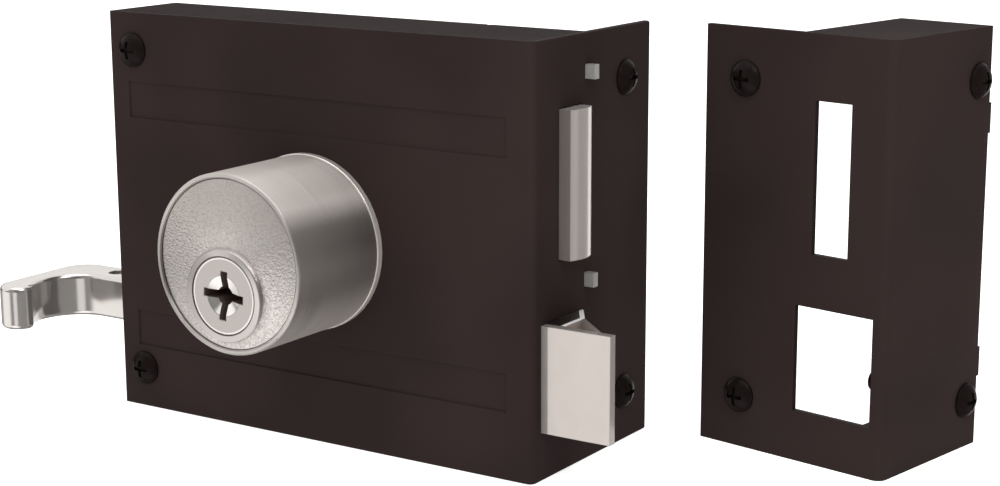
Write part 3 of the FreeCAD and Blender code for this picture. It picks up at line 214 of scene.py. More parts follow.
def satin_nickel_cylinder():
    """Nickel-plated die casting. The turned side draws its highlights out along the axis, the sunk field
    of the face has the grain of a sand-blasted mould, and a painted highlight makes the front brighter
    towards the bottom. Rim and collar are smooth, the rim painted lighter as a painted highlight, and
    painted shade darkens the field's corner and the gap round the plug."""
    made, tree, shader = start_material("satin_nickel_plated_casting")
    field_edge = FIELD_RADIUS - 0.2 * MM
    blend = 0.3 * MM
    rim_edge = FIELD_RADIUS + 0.3 * MM
    bore_edge = PLUG_RADIUS + 0.3 * MM
    corner_radius = FIELD_RADIUS + 0.1 * MM
    corner_width = 0.12 * MM
    place = add(tree, "ShaderNodeTexCoord").outputs["Object"]
    axes = add(tree, "ShaderNodeSeparateXYZ", {"Vector": place}).outputs
    flat = add(tree, "ShaderNodeVectorMath", {0: place, 1: (1, 0, 1)}, operation="MULTIPLY").outputs["Vector"]
    reach = add(tree, "ShaderNodeVectorMath", {0: flat}, operation="LENGTH").outputs["Value"]
    in_rim = add(
        tree,
        "ShaderNodeMapRange",
        {"Value": reach, "From Min": FIELD_RADIUS, "From Max": field_edge},
    ).outputs["Result"]
    at_front = add(
        tree,
        "ShaderNodeMapRange",
        {"Value": axes["Y"], "From Min": FIELD_Y + 0.4 * MM, "From Max": FIELD_Y + 0.3 * MM},
    ).outputs["Result"]
    from_plug = add(
        tree, "ShaderNodeVectorMath", {0: flat, 1: (PLUG_X, 0, PLUG_Z)}, operation="DISTANCE"
    ).outputs["Value"]
    outside_collar = add(
        tree,
        "ShaderNodeMapRange",
        {"Value": from_plug, "From Min": COLLAR_RADIUS - blend, "From Max": COLLAR_RADIUS + blend},
    ).outputs["Result"]
    in_field = add(tree, "ShaderNodeMath", {0: in_rim, 1: at_front}, operation="MULTIPLY").outputs["Value"]
    sanded = add(
        tree, "ShaderNodeMath", {0: in_field, 1: outside_collar}, operation="MULTIPLY"
    ).outputs["Value"]

    grain = add(
        tree, "ShaderNodeTexNoise", {"Vector": place, "Scale": 1 / SAND_GRAIN, "Detail": 1.0}
    ).outputs["Fac"]
    round_axis = add(
        tree, "ShaderNodeVectorMath", {0: place, 1: (0.02, 1, 0.02)}, operation="MULTIPLY"
    ).outputs["Vector"]
    lathe = add(
        tree, "ShaderNodeTexNoise", {"Vector": round_axis, "Scale": 1 / LATHE_LINES, "Detail": 2.0}
    ).outputs["Fac"]
    side = add(
        tree,
        "ShaderNodeMix",
        {"Factor": lathe, "A": linear("#cdc6c1"), "B": linear("#d8d1cc")},
        data_type="RGBA",
    ).outputs["Result"]
    peaks = add(
        tree, "ShaderNodeMapRange", {"Value": grain, "From Min": 0.3, "From Max": 0.7}
    ).outputs["Result"]
    peaks = add(tree, "ShaderNodeMix", {"Factor": sanded, "A": 0.5, "B": peaks}).outputs["Result"]
    face = add(
        tree,
        "ShaderNodeMix",
        {"Factor": peaks, "A": linear("#b4aeaa"), "B": linear("#c4beba")},
        data_type="RGBA",
    ).outputs["Result"]
    colour = add(
        tree, "ShaderNodeMix", {"Factor": at_front, "A": side, "B": face}, data_type="RGBA"
    ).outputs["Result"]
    # painted highlight: the front is drawn lighter round a point low on the face, brighter towards the bottom
    painted_light_distance = add(
        tree, "ShaderNodeVectorMath", {0: flat, 1: PAINTED_LIGHT_CENTRE}, operation="DISTANCE"
    ).outputs["Value"]
    painted_highlight = add(
        tree,
        "ShaderNodeMapRange",
        {"Value": painted_light_distance, "From Min": PAINTED_LIGHT_REACH, "From Max": PAINTED_LIGHT_FULL},
        interpolation_type="SMOOTHSTEP",
    ).outputs["Result"]
    painted_light_area = add(tree, "ShaderNodeMath", {0: painted_highlight, 1: at_front}, operation="MULTIPLY").outputs["Value"]
    highlight_colour = add(
        tree,
        "ShaderNodeMix",
        {"Factor": peaks, "A": linear("#c8c2be"), "B": linear("#faf5f2")},
        data_type="RGBA",
    ).outputs["Result"]
    colour = add(
        tree, "ShaderNodeMix", {"Factor": painted_light_area, "A": colour, "B": highlight_colour}, data_type="RGBA"
    ).outputs["Result"]
    # painted highlight: the raised rim at the front is drawn lighter
    on_rim = add(tree, "ShaderNodeMath", {0: reach, 1: rim_edge}, operation="GREATER_THAN").outputs["Value"]
    bright = add(tree, "ShaderNodeMath", {0: on_rim, 1: at_front}, operation="MULTIPLY").outputs["Value"]
    colour = add(
        tree, "ShaderNodeMix", {"Factor": bright, "A": colour, "B": linear("#d2cdc9")}, data_type="RGBA"
    ).outputs["Result"]
    # painted shade: a thin ring in the field's corner and the gap round the plug are drawn darker
    corner = add(
        tree, "ShaderNodeMath", {0: reach, 1: corner_radius, 2: corner_width}, operation="COMPARE"
    ).outputs["Value"]
    gap = add(tree, "ShaderNodeMath", {0: from_plug, 1: bore_edge}, operation="LESS_THAN").outputs["Value"]
    painted_shade = add(tree, "ShaderNodeMath", {0: corner, 1: gap}, operation="MAXIMUM").outputs["Value"]
    painted_shade = add(tree, "ShaderNodeMath", {0: painted_shade, 1: at_front}, operation="MULTIPLY").outputs["Value"]
    colour = add(
        tree, "ShaderNodeMix", {"Factor": painted_shade, "A": colour, "B": linear("#6a605c")}, data_type="RGBA"
    ).outputs["Result"]
    tree.links.new(colour, shader.inputs["Base Color"])
    smooth = add(
        tree,
        "ShaderNodeMapRange",
        {"Value": lathe, "From Min": 0.3, "From Max": 0.7, "To Min": 0.4, "To Max": 0.46},
    ).outputs["Result"]
    rough = add(
        tree,
        "ShaderNodeMapRange",
        {"Value": grain, "From Min": 0.3, "From Max": 0.7, "To Min": 0.3, "To Max": 0.4},
    ).outputs["Result"]
    tree.links.new(
        add(tree, "ShaderNodeMix", {"Factor": sanded, "A": smooth, "B": rough}).outputs["Result"],
        shader.inputs["Roughness"],
    )
    rounded = add(tree, "ShaderNodeBevel", {"Radius": 0.15 * MM}, samples=6).outputs["Normal"]
    bump = add(
        tree,
        "ShaderNodeBump",
        {"Height": grain, "Strength": sanded, "Distance": 0.16 * MM, "Normal": rounded},
    ).outputs["Normal"]
    tree.links.new(bump, shader.inputs["Normal"])
    tangent = add(tree, "ShaderNodeTangent", direction_type="RADIAL", axis="Y").outputs["Tangent"]
    tree.links.new(tangent, shader.inputs["Tangent"])
    shader.inputs["Metallic"].default_value = 1.0
    shader.inputs["Anisotropic"].default_value = 0.95
    shader.inputs["Anisotropic Rotation"].default_value = 0.25
    return made


def satin_nickel_plug():
    """Nickel-plated brass, faced on a lathe: faint rings, and a painted highlight drawn as a bright ring at
    the chamfer. Behind its mouth the keyway is drawn dark brown and not metallic, as painted shade."""
    made, tree, shader = start_material("faced_nickel_plug")
    arm_edge = KEYWAY_HALF + 0.03 * MM
    under_face = 0.12 * MM
    funnel_end = FUNNEL_DEPTH - 0.05 * MM
    chamfer_edge = PLUG_RADIUS - 0.45 * MM
    place = add(tree, "ShaderNodeTexCoord").outputs["Object"]
    centred = add(
        tree, "ShaderNodeVectorMath", {0: place, 1: (PLUG_X, FACE_Y, PLUG_Z)}, operation="SUBTRACT"
    ).outputs["Vector"]
    local = add(
        tree, "ShaderNodeMapping", {"Vector": centred, "Rotation": (0, -math.radians(KEYWAY_TILT), 0)}
    ).outputs["Vector"]
    axes = add(tree, "ShaderNodeSeparateXYZ", {"Vector": local}).outputs
    across = add(tree, "ShaderNodeMath", {0: axes["X"]}, operation="ABSOLUTE").outputs["Value"]
    up = add(tree, "ShaderNodeMath", {0: axes["Z"]}, operation="ABSOLUTE").outputs["Value"]
    near_arm = add(tree, "ShaderNodeMath", {0: across, 1: up}, operation="MINIMUM").outputs["Value"]
    in_arm = add(tree, "ShaderNodeMath", {0: near_arm, 1: arm_edge}, operation="LESS_THAN").outputs["Value"]
    # painted shade: the keyway walls below the face, and all of the plug deeper than the funnel, are drawn
    # dark brown and not metallic
    below_face = add(
        tree, "ShaderNodeMath", {0: axes["Y"], 1: under_face}, operation="GREATER_THAN"
    ).outputs["Value"]
    past_funnel = add(
        tree, "ShaderNodeMath", {0: axes["Y"], 1: funnel_end}, operation="GREATER_THAN"
    ).outputs["Value"]
    arm_wall = add(tree, "ShaderNodeMath", {0: in_arm, 1: below_face}, operation="MULTIPLY").outputs["Value"]
    keyway_painted_shade = add(tree, "ShaderNodeMath", {0: arm_wall, 1: past_funnel}, operation="MAXIMUM").outputs["Value"]
    flat = add(tree, "ShaderNodeVectorMath", {0: local, 1: (1, 0, 1)}, operation="MULTIPLY").outputs["Vector"]
    reach = add(tree, "ShaderNodeVectorMath", {0: flat}, operation="LENGTH").outputs["Value"]
    rings = add(
        tree,
        "ShaderNodeTexNoise",
        {"W": reach, "Scale": 1 / FACING_RINGS, "Detail": 2.0},
        noise_dimensions="1D",
    ).outputs["Fac"]
    plate = add(
        tree,
        "ShaderNodeMix",
        {"Factor": rings, "A": linear("#aea9a5"), "B": linear("#b9b4b0")},
        data_type="RGBA",
    ).outputs["Result"]
    colour = add(
        tree, "ShaderNodeMix", {"Factor": keyway_painted_shade, "A": plate, "B": linear("#4f423d")}, data_type="RGBA"
    ).outputs["Result"]
    # painted highlight: a bright ring round the edge of the plug's face
    chamfer_highlight = add(
        tree, "ShaderNodeMath", {0: reach, 1: chamfer_edge}, operation="GREATER_THAN"
    ).outputs["Value"]
    colour = add(
        tree, "ShaderNodeMix", {"Factor": chamfer_highlight, "A": colour, "B": linear("#e6e3e0")}, data_type="RGBA"
    ).outputs["Result"]
    tree.links.new(colour, shader.inputs["Base Color"])
    gloss = add(
        tree,
        "ShaderNodeMapRange",
        {"Value": rings, "From Min": 0.3, "From Max": 0.7, "To Min": 0.2, "To Max": 0.27},
    ).outputs["Result"]
    tree.links.new(gloss, shader.inputs["Roughness"])
    rounded = add(tree, "ShaderNodeBevel", {"Radius": 0.4 * MM}, samples=6).outputs["Normal"]
    bump = add(
        tree, "ShaderNodeBump", {"Height": rings, "Distance": 0.002 * MM, "Normal": rounded}
    ).outputs["Normal"]
    tree.links.new(bump, shader.inputs["Normal"])
    bare = add(tree, "ShaderNodeMapRange", {"Value": keyway_painted_shade, "To Min": 0.9, "To Max": 0.0}).outputs["Result"]
    tree.links.new(bare, shader.inputs["Metallic"])
    return made


def coined_mouth():
    """Nickel plate on a coined mouth: the guide faces of the keyway flash like small mirrors, and behind
    them the keyway is drawn dark brown and not metallic, as painted shade."""
    made, tree, shader = start_material("coined_nickel_plate")
    painted_shade_from = FACE_Y + 0.8 * MM
    place = add(tree, "ShaderNodeTexCoord").outputs["Object"]
    swirl = add(
        tree, "ShaderNodeTexNoise", {"Vector": place, "Scale": 1 / COINED_SWIRL, "Detail": 2.0}
    ).outputs["Fac"]
    colour = add(
        tree,
        "ShaderNodeMix",
        {"Factor": swirl, "A": linear("#e9e6e2"), "B": linear("#f6f3f0")},
        data_type="RGBA",
    ).outputs["Result"]
    axes = add(tree, "ShaderNodeSeparateXYZ", {"Vector": place}).outputs
    # painted shade: deeper than this the mouth is drawn dark brown and not metallic
    deep = add(
        tree, "ShaderNodeMath", {0: axes["Y"], 1: painted_shade_from}, operation="GREATER_THAN"
    ).outputs["Value"]
    colour = add(
        tree, "ShaderNodeMix", {"Factor": deep, "A": colour, "B": linear("#4f423d")}, data_type="RGBA"
    ).outputs["Result"]
    tree.links.new(colour, shader.inputs["Base Color"])
    gloss = add(
        tree,
        "ShaderNodeMapRange",
        {"Value": swirl, "From Min": 0.3, "From Max": 0.7, "To Min": 0.12, "To Max": 0.18},
    ).outputs["Result"]
    tree.links.new(gloss, shader.inputs["Roughness"])
    bare = add(tree, "ShaderNodeMapRange", {"Value": deep, "To Min": 1.0, "To Max": 0.0}).outputs["Result"]
    tree.links.new(bare, shader.inputs["Metallic"])
    return made


def satin_nickel_rose():
    """Nickel-plated stamped ring, tumbled: bright, with a faint cloud."""
    made, tree, shader = start_material("tumbled_nickel_ring")
    place = add(tree, "ShaderNodeTexCoord").outputs["Object"]
    cloud = add(
        tree, "ShaderNodeTexNoise", {"Vector": place, "Scale": 1 / TUMBLED_CLOUD, "Detail": 3.0}
    ).outputs["Fac"]
    colour = add(
        tree,
        "ShaderNodeMix",
        {"Factor": cloud, "A": linear("#cdc6c1"), "B": linear("#dad3ce")},
        data_type="RGBA",
    ).outputs["Result"]
    tree.links.new(colour, shader.inputs["Base Color"])
    gloss = add(
        tree,
        "ShaderNodeMapRange",
        {"Value": cloud, "From Min": 0.3, "From Max": 0.7, "To Min": 0.16, "To Max": 0.22},
    ).outputs["Result"]
    tree.links.new(gloss, shader.inputs["Roughness"])
    rounded = add(tree, "ShaderNodeBevel", {"Radius": 0.2 * MM}, samples=6).outputs["Normal"]
    tree.links.new(rounded, shader.inputs["Normal"])
    shader.inputs["Metallic"].default_value = 0.55
    return made


def polished_chrome():
    """Chrome plate on a polished casting: it mirrors the studio a little softly, with the faint ripple
    that polishing leaves."""
    made, tree, shader = start_material("polished_chrome_plate")
    place = add(tree, "ShaderNodeTexCoord").outputs["Object"]
    ripple = add(
        tree, "ShaderNodeTexNoise", {"Vector": place, "Scale": 1 / POLISHING_RIPPLE, "Detail": 2.0}
    ).outputs["Fac"]
    colour = add(
        tree,
        "ShaderNodeMix",
        {"Factor": ripple, "A": linear("#d0ccc9"), "B": linear("#dbd7d4")},
        data_type="RGBA",
    ).outputs["Result"]
    tree.links.new(colour, shader.inputs["Base Color"])
    gloss = add(
        tree,
        "ShaderNodeMapRange",
        {"Value": ripple, "From Min": 0.3, "From Max": 0.7, "To Min": 0.13, "To Max": 0.17},
    ).outputs["Result"]
    tree.links.new(gloss, shader.inputs["Roughness"])
    rounded = add(tree, "ShaderNodeBevel", {"Radius": 0.25 * MM}, samples=6).outputs["Normal"]
    bump = add(
        tree, "ShaderNodeBump", {"Height": ripple, "Distance": 0.03 * MM, "Normal": rounded}
    ).outputs["Normal"]
    tree.links.new(bump, shader.inputs["Normal"])
    shader.inputs["Metallic"].default_value = 0.88
    return made


def bright_latch_plate():
    """Nickel plate on a vibro-polished zinc casting: a bright face with shallow flow marks. Behind the
    face the casting is drawn dull brown and not metallic, as painted shade, and its top edge is painted
    grey, and white where it is thin, as painted light."""
    made, tree, shader = start_material("vibro_polished_zinc_casting")
    under_top = LATCH_TOP - 0.05 * MM
    place = add(tree, "ShaderNodeTexCoord").outputs["Object"]
    flow = add(
        tree, "ShaderNodeTexNoise", {"Vector": place, "Scale": 1 / CASTING_FLOW, "Detail": 3.0}
    ).outputs["Fac"]
    colour = add(
        tree,
        "ShaderNodeMix",
        {"Factor": flow, "A": linear("#b5aea9"), "B": linear("#beb7b2")},
        data_type="RGBA",
    ).outputs["Result"]
    axes = add(tree, "ShaderNodeSeparateXYZ", {"Vector": place}).outputs
    behind = add(
        tree, "ShaderNodeMath", {0: axes["Y"], 1: LATCH_BACK_OF_FACE}, operation="GREATER_THAN"
    ).outputs["Value"]
    # painted shade: behind the face the casting is drawn dull brown and not metallic
    painted_back_light = add(
        tree, "ShaderNodeMix", {"Factor": behind, "A": colour, "B": linear("#a89b95")}, data_type="RGBA"
    ).outputs["Result"]
    at_top = add(
        tree, "ShaderNodeMath", {0: axes["Z"], 1: under_top}, operation="GREATER_THAN"
    ).outputs["Value"]
    inner_run = add(
        tree, "ShaderNodeMath", {0: axes["X"], 1: LATCH_KNEE_X}, operation="LESS_THAN"
    ).outputs["Value"]
    # painted light: the top edge behind the face is drawn grey, and white along its thin inner run
    top_edge = add(tree, "ShaderNodeMath", {0: at_top, 1: behind}, operation="MULTIPLY").outputs["Value"]
    painted_back_light = add(
        tree, "ShaderNodeMix", {"Factor": top_edge, "A": painted_back_light, "B": linear("#7d7673")}, data_type="RGBA"
    ).outputs["Result"]
    painted_light = add(tree, "ShaderNodeMath", {0: top_edge, 1: inner_run}, operation="MULTIPLY").outputs["Value"]
    colour = add(
        tree, "ShaderNodeMix", {"Factor": painted_light, "A": painted_back_light, "B": linear("#ffffff")}, data_type="RGBA"
    ).outputs["Result"]
    tree.links.new(colour, shader.inputs["Base Color"])
    plated = add(
        tree, "ShaderNodeMapRange", {"Value": behind, "To Min": 0.55, "To Max": 0.0}
    ).outputs["Result"]
    tree.links.new(plated, shader.inputs["Metallic"])
    gloss = add(
        tree,
        "ShaderNodeMapRange",
        {"Value": flow, "From Min": 0.3, "From Max": 0.7, "To Min": 0.1, "To Max": 0.15},
    ).outputs["Result"]
    tree.links.new(gloss, shader.inputs["Roughness"])
    rounded = add(tree, "ShaderNodeBevel", {"Radius": 0.25 * MM}, samples=6).outputs["Normal"]
    bump = add(
        tree, "ShaderNodeBump", {"Height": flow, "Distance": 0.01 * MM, "Normal": rounded}
    ).outputs["Normal"]
    tree.links.new(bump, shader.inputs["Normal"])
    return made


def drawn_bolt_steel():
    """Cold-drawn steel bar, zinc-plated: fine draw lines along the bar, and painted light by the way each
    face points: darkened all over as painted shade, and lighter where it faces towards the back, as a
    painted highlight on the nose."""
    made, tree, shader = start_material("cold_drawn_steel")
    place = add(tree, "ShaderNodeTexCoord").outputs["Object"]
    stretched = add(
        tree, "ShaderNodeVectorMath", {0: place, 1: (1, 1, 0.03)}, operation="MULTIPLY"
    ).outputs["Vector"]
    lines = add(
        tree, "ShaderNodeTexNoise", {"Vector": stretched, "Scale": 1 / DRAW_LINES, "Detail": 1.0}
    ).outputs["Fac"]
    colour = add(
        tree,
        "ShaderNodeMix",
        {"Factor": lines, "A": linear("#c3bdb8"), "B": linear("#cfc9c5")},
        data_type="RGBA",
    ).outputs["Result"]
    # painted light: darkened all over, and lighter where the surface faces towards the back
    facing = add(tree, "ShaderNodeTexCoord").outputs["Normal"]
    round_nose = add(tree, "ShaderNodeSeparateXYZ", {"Vector": facing}).outputs["Y"]
    nose_highlight = add(
        tree, "ShaderNodeMapRange", {"Value": round_nose, "From Min": -0.6, "From Max": 0.35}
    ).outputs["Result"]
    side_shade = 0.6
    shaded_sides = add(
        tree, "ShaderNodeMix", {"Factor": side_shade, "A": colour, "B": linear("#625955")}, data_type="RGBA"
    ).outputs["Result"]
    painted_light = add(
        tree, "ShaderNodeMix", {"Factor": nose_highlight, "A": shaded_sides, "B": linear("#f2ece8")}, data_type="RGBA"
    ).outputs["Result"]
    tree.links.new(painted_light, shader.inputs["Base Color"])
    gloss = add(
        tree,
        "ShaderNodeMapRange",
        {"Value": lines, "From Min": 0.3, "From Max": 0.7, "To Min": 0.24, "To Max": 0.27},
    ).outputs["Result"]
    tree.links.new(gloss, shader.inputs["Roughness"])
    rounded = add(tree, "ShaderNodeBevel", {"Radius": 0.25 * MM}, samples=6).outputs["Normal"]
    bump = add(
        tree, "ShaderNodeBump", {"Height": lines, "Distance": 0.0006 * MM, "Normal": rounded}
    ).outputs["Normal"]
    tree.links.new(bump, shader.inputs["Normal"])
    shader.inputs["Metallic"].default_value = 0.6
    return made


def galvanised_sheet():
    """Hot-dip galvanised sheet: pale grey with a patchwork of zinc spangle, a few millimetres across."""
    made, tree, shader = start_material("hot_dip_galvanised_sheet")
    place = add(tree, "ShaderNodeTexCoord").outputs["Object"]
    spangle = add(tree, "ShaderNodeTexVoronoi", {"Vector": place, "Scale": 1 / ZINC_SPANGLE}).outputs["Color"]
    shade = add(tree, "ShaderNodeSeparateXYZ", {"Vector": spangle}).outputs["X"]
    scratch = add(
        tree, "ShaderNodeTexNoise", {"Vector": place, "Scale": 1 / SHEET_SCRATCH, "Detail": 4.0}
    ).outputs["Fac"]
    mixed = add(tree, "ShaderNodeMath", {0: shade, 1: scratch}, operation="MULTIPLY").outputs["Value"]
    colour = add(
        tree,
        "ShaderNodeMix",
        {"Factor": mixed, "A": linear("#b3b1ae"), "B": linear("#d2d0cc")},
        data_type="RGBA",
    ).outputs["Result"]
    tree.links.new(colour, shader.inputs["Base Color"])
    gloss = add(tree, "ShaderNodeMapRange", {"Value": mixed, "To Min": 0.3, "To Max": 0.46}).outputs["Result"]
    tree.links.new(gloss, shader.inputs["Roughness"])
    rounded = add(tree, "ShaderNodeBevel", {"Radius": 0.15 * MM}, samples=6).outputs["Normal"]
    bump = add(
        tree, "ShaderNodeBump", {"Height": scratch, "Distance": 0.004 * MM, "Normal": rounded}
    ).outputs["Normal"]
    tree.links.new(bump, shader.inputs["Normal"])
    shader.inputs["Metallic"].default_value = 0.5
    return made


def turned_steel():
    """Free-cutting steel from the bar, turned and left bright: plain grey metal with fine tool marks."""
    made, tree, shader = start_material("turned_free_cutting_steel")
    place = add(tree, "ShaderNodeTexCoord").outputs["Object"]
    marks = add(
        tree, "ShaderNodeTexNoise", {"Vector": place, "Scale": 1 / TURNING_MARKS, "Detail": 3.0}
    ).outputs["Fac"]
    colour = add(
        tree,
        "ShaderNodeMix",
        {"Factor": marks, "A": linear("#9d9996"), "B": linear("#b1adaa")},
        data_type="RGBA",
    ).outputs["Result"]
    tree.links.new(colour, shader.inputs["Base Color"])
    gloss = add(
        tree,
        "ShaderNodeMapRange",
        {"Value": marks, "From Min": 0.3, "From Max": 0.7, "To Min": 0.2, "To Max": 0.3},
    ).outputs["Result"]
    tree.links.new(gloss, shader.inputs["Roughness"])
    rounded = add(tree, "ShaderNodeBevel", {"Radius": 0.1 * MM}, samples=6).outputs["Normal"]
    tree.links.new(rounded, shader.inputs["Normal"])
    shader.inputs["Metallic"].default_value = 1.0
    return made


def turned_brass():
    """Brass bar, turned: warm yellow with fine tool marks."""
    made, tree, shader = start_material("turned_brass")
    place = add(tree, "ShaderNodeTexCoord").outputs["Object"]
    marks = add(
        tree, "ShaderNodeTexNoise", {"Vector": place, "Scale": 1 / BRASS_MARKS, "Detail": 2.0}
    ).outputs["Fac"]
    colour = add(
        tree,
        "ShaderNodeMix",
        {"Factor": marks, "A": linear("#b89350"), "B": linear("#cba65f")},
        data_type="RGBA",
    ).outputs["Result"]
    tree.links.new(colour, shader.inputs["Base Color"])
    gloss = add(
        tree,
        "ShaderNodeMapRange",
        {"Value": marks, "From Min": 0.3, "From Max": 0.7, "To Min": 0.2, "To Max": 0.3},
    ).outputs["Result"]
    tree.links.new(gloss, shader.inputs["Roughness"])
    shader.inputs["Metallic"].default_value = 1.0
    return made


def black_screw_zinc():
    """Screws in black-passivated zinc: near black, with a faint brown cast and a slight gleam on the dome."""
    made, tree, shader = start_material("black_passivated_zinc")
    place = add(tree, "ShaderNodeTexCoord").outputs["Object"]
    film = add(
        tree, "ShaderNodeTexNoise", {"Vector": place, "Scale": 1 / ZINC_FILM, "Detail": 3.0}
    ).outputs["Fac"]
    colour = add(
        tree,
        "ShaderNodeMix",
        {"Factor": film, "A": linear("#130e0d"), "B": linear("#191312")},
        data_type="RGBA",
    ).outputs["Result"]
    tree.links.new(colour, shader.inputs["Base Color"])
    gloss = add(
        tree,
        "ShaderNodeMapRange",
        {"Value": film, "From Min": 0.3, "From Max": 0.7, "To Min": 0.2, "To Max": 0.28},
    ).outputs["Result"]
    tree.links.new(gloss, shader.inputs["Roughness"])
    rounded = add(tree, "ShaderNodeBevel", {"Radius": 0.1 * MM}, samples=6).outputs["Normal"]
    bump = add(
        tree, "ShaderNodeBump", {"Height": film, "Distance": 0.003 * MM, "Normal": rounded}
    ).outputs["Normal"]
    tree.links.new(bump, shader.inputs["Normal"])
    shader.inputs["IOR"].default_value = 1.5
    shader.inputs["Specular IOR Level"].default_value = 0.05
    return made


# Pieces
def turned_ring(name, profile, around):
    """A ring of revolution about Y through a point; the profile is (radius, distance behind the point)."""
    mesh = bpy.data.meshes.new(name)
    steps = 96
    points = []
    for step in range(steps):
        angle = math.tau * step / steps
        for radius, depth in profile:
            across, up = radius * math.cos(angle), radius * math.sin(angle)
            points.append((around[0] + across, around[1] + depth, around[2] + up))
    count = len(profile)
    faces = []
    for step in range(steps):
        here, there = step * count, (step + 1) % steps * count
        for i in range(count):
            faces.append((here + i, here + (i + 1) % count, there + (i + 1) % count, there + i))
    mesh.from_pydata(points, [], faces)
    ring = bpy.data.objects.new(name, mesh)
    bpy.context.scene.collection.objects.link(ring)
    return ring


def make_keyway_mouth():
    """The coined mouth of the keyway: four shallow guide faces between the arms of the cross."""
    axis = (PLUG_X, FACE_Y, PLUG_Z)
    clear = 0.03 * MM
    sunk = 0.02 * MM
    cone_depth = 0.75 * MM
    throat = FUNNEL_ROOT - 0.15 * MM
    mouth = turned_ring(
        "keyway_mouth",
        [
            (FUNNEL_RADIUS, sunk),
            (throat, cone_depth),
            (throat, FUNNEL_DEPTH),
            (FUNNEL_ROOT - clear, FUNNEL_DEPTH),
        ],
        axis,
    )
    cross = bpy.data.meshes.new("keyway_arms")
    made = bmesh.new()
    for turn in (0.0, 90.0):
        arm = bmesh.ops.create_cube(made, size=1.0)["verts"]
        bmesh.ops.scale(made, vec=(KEYWAY_REACH * 2, FUNNEL_DEPTH * 4, KEYWAY_HALF * 2), verts=arm)
        bmesh.ops.rotate(made, matrix=Matrix.Rotation(math.radians(KEYWAY_TILT + turn), 3, "Y"), verts=arm)
        bmesh.ops.translate(made, vec=axis, verts=arm)
    made.to_mesh(cross)
    made.free()
    cutter = bpy.data.objects.new("keyway_arms", cross)
    bpy.context.scene.collection.objects.link(cutter)
    cut = mouth.modifiers.new("arms", "BOOLEAN")
    cut.object = cutter
    cut.solver = "EXACT"
    cut.use_self = True
    shape = bpy.data.meshes.new_from_object(mouth.evaluated_get(bpy.context.evaluated_depsgraph_get()))
    mouth.modifiers.clear()
    mouth.data = shape
    bpy.data.objects.remove(cutter)
    shape.materials.clear()
    shape.materials.append(coined_mouth())
    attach(mouth, "key_plug")


def make_latch_coil():
    """The latch's spring: round wire coiled about the latch bar. In the lock it shortens towards its
    bracket; here it is drawn at one length.
    """
    low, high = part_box("latch_spring")
    thick = SPRING_WIRE / 2
    middle = (low + high) / 2
    radius = (high.z - low.z) / 2 - thick
    start, stop = low.x + thick, high.x - thick
    rise = (stop - start) / SPRING_TURNS
    per_turn, sides = 36, 12
    points = []
    for step in range(SPRING_TURNS * per_turn + 1):
        turn = step / per_turn
        angle = math.tau * turn
        outward = Vector((0, math.cos(angle), math.sin(angle)))
        forward = Vector((rise / (math.tau * radius), -math.sin(angle), math.cos(angle))).normalized()
        across = forward.cross(outward)
        centre = Vector((start + rise * turn, middle.y, middle.z)) + outward * radius
        for side in range(sides):
            around = math.tau * side / sides
            points.append(centre + (outward * math.cos(around) + across * math.sin(around)) * thick)
    last = SPRING_TURNS * per_turn * sides
    faces = [tuple(reversed(range(sides))), tuple(last + side for side in range(sides))]
    for ring in range(0, last, sides):
        for side in range(sides):
            beside = (side + 1) % sides
            faces.append((ring + side, ring + beside, ring + sides + beside, ring + sides + side))
    mesh = bpy.data.meshes.new("latch_coil")
    mesh.from_pydata(points, [], faces)
    mesh.shade_smooth()
    mesh.materials.append(turned_steel())
    coil = bpy.data.objects.new("latch_coil", mesh)
    bpy.context.scene.collection.objects.link(coil)
    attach(coil, "lock_case")
    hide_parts("latch_spring")
    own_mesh(coil)


def dress_everything():
    """Which finish goes on which solids."""
    dress(powder_coat(), "case", "strike_box", "strike_end_plate")
    dress(satin_nickel_cylinder(), "cylinder_housing")
    dress(satin_nickel_rose(), "cylinder_rose")
    dress(satin_nickel_plug(), "plug")
    dress(polished_chrome(), "finger_pull")
    dress(bright_latch_plate(), "latch_bolt")
    dress(drawn_bolt_steel(), "deadbolt")
    dress(black_screw_zinc(), "gate_screws", "edge_screws", "strike_edge_screws", "strike_face_screws")
    dress(turned_brass(), "key_pins", "driver_pins")
    dress(
        galvanised_sheet(),
        "back_cover", "cylinder_clamp", "latch_bracket", "deadbolt_slide", "latch_bar", "clamp_screws",
        "cover_screws",
    )
    dress(
        turned_steel(),
        "deadbolt_rivets", "pinion", "plug_clip", "latch_pin", "pull_pin", "latch_spring", "pin_springs",
        "guide_posts", "cover_pillars", "spacer_tubes",
    )


# Floor, light and camera
def make_floor():
    """A pale lit table, level with the lowest point of the part."""
    low = cad_bounds[0][2]
    reach = 4.0  # metres, past everything that the camera sees
    mesh = bpy.data.meshes.new("floor")
    corners = [(-reach, -reach, low), (reach, -reach, low), (reach, reach, low), (-reach, reach, low)]
    mesh.from_pydata(corners, [], [(0, 1, 2, 3)])
    floor = bpy.data.objects.new("floor", mesh)
    bpy.context.scene.collection.objects.link(floor)
    made, _, shader = start_material("pale_table")
    shader.inputs["Base Color"].default_value = linear("#fdfdfd")
    shader.inputs["Roughness"].default_value = 0.9
    shader.inputs["Emission Color"].default_value = linear("#ffffff")
    shader.inputs["Emission Strength"].default_value = 0.7
    shader.inputs["Specular IOR Level"].default_value = 0.0
    mesh.materials.append(made)
    floor.visible_glossy = False


def soft_box(name, place, target, width, height, brightness):
    """A rectangular soft light, aimed at a point; brightness 1 is as bright as the white surround."""
    light = bpy.data.lights.new(name, "AREA")
    light.shape = "RECTANGLE"
    light.size = width
    light.size_y = height
    light.energy = brightness * math.pi * width * height
    lamp = bpy.data.objects.new(name, light)
    lamp.location = place
    lamp.rotation_euler = (Vector(target) - Vector(place)).to_track_quat("-Z", "Y").to_euler()
    bpy.context.scene.collection.objects.link(lamp)


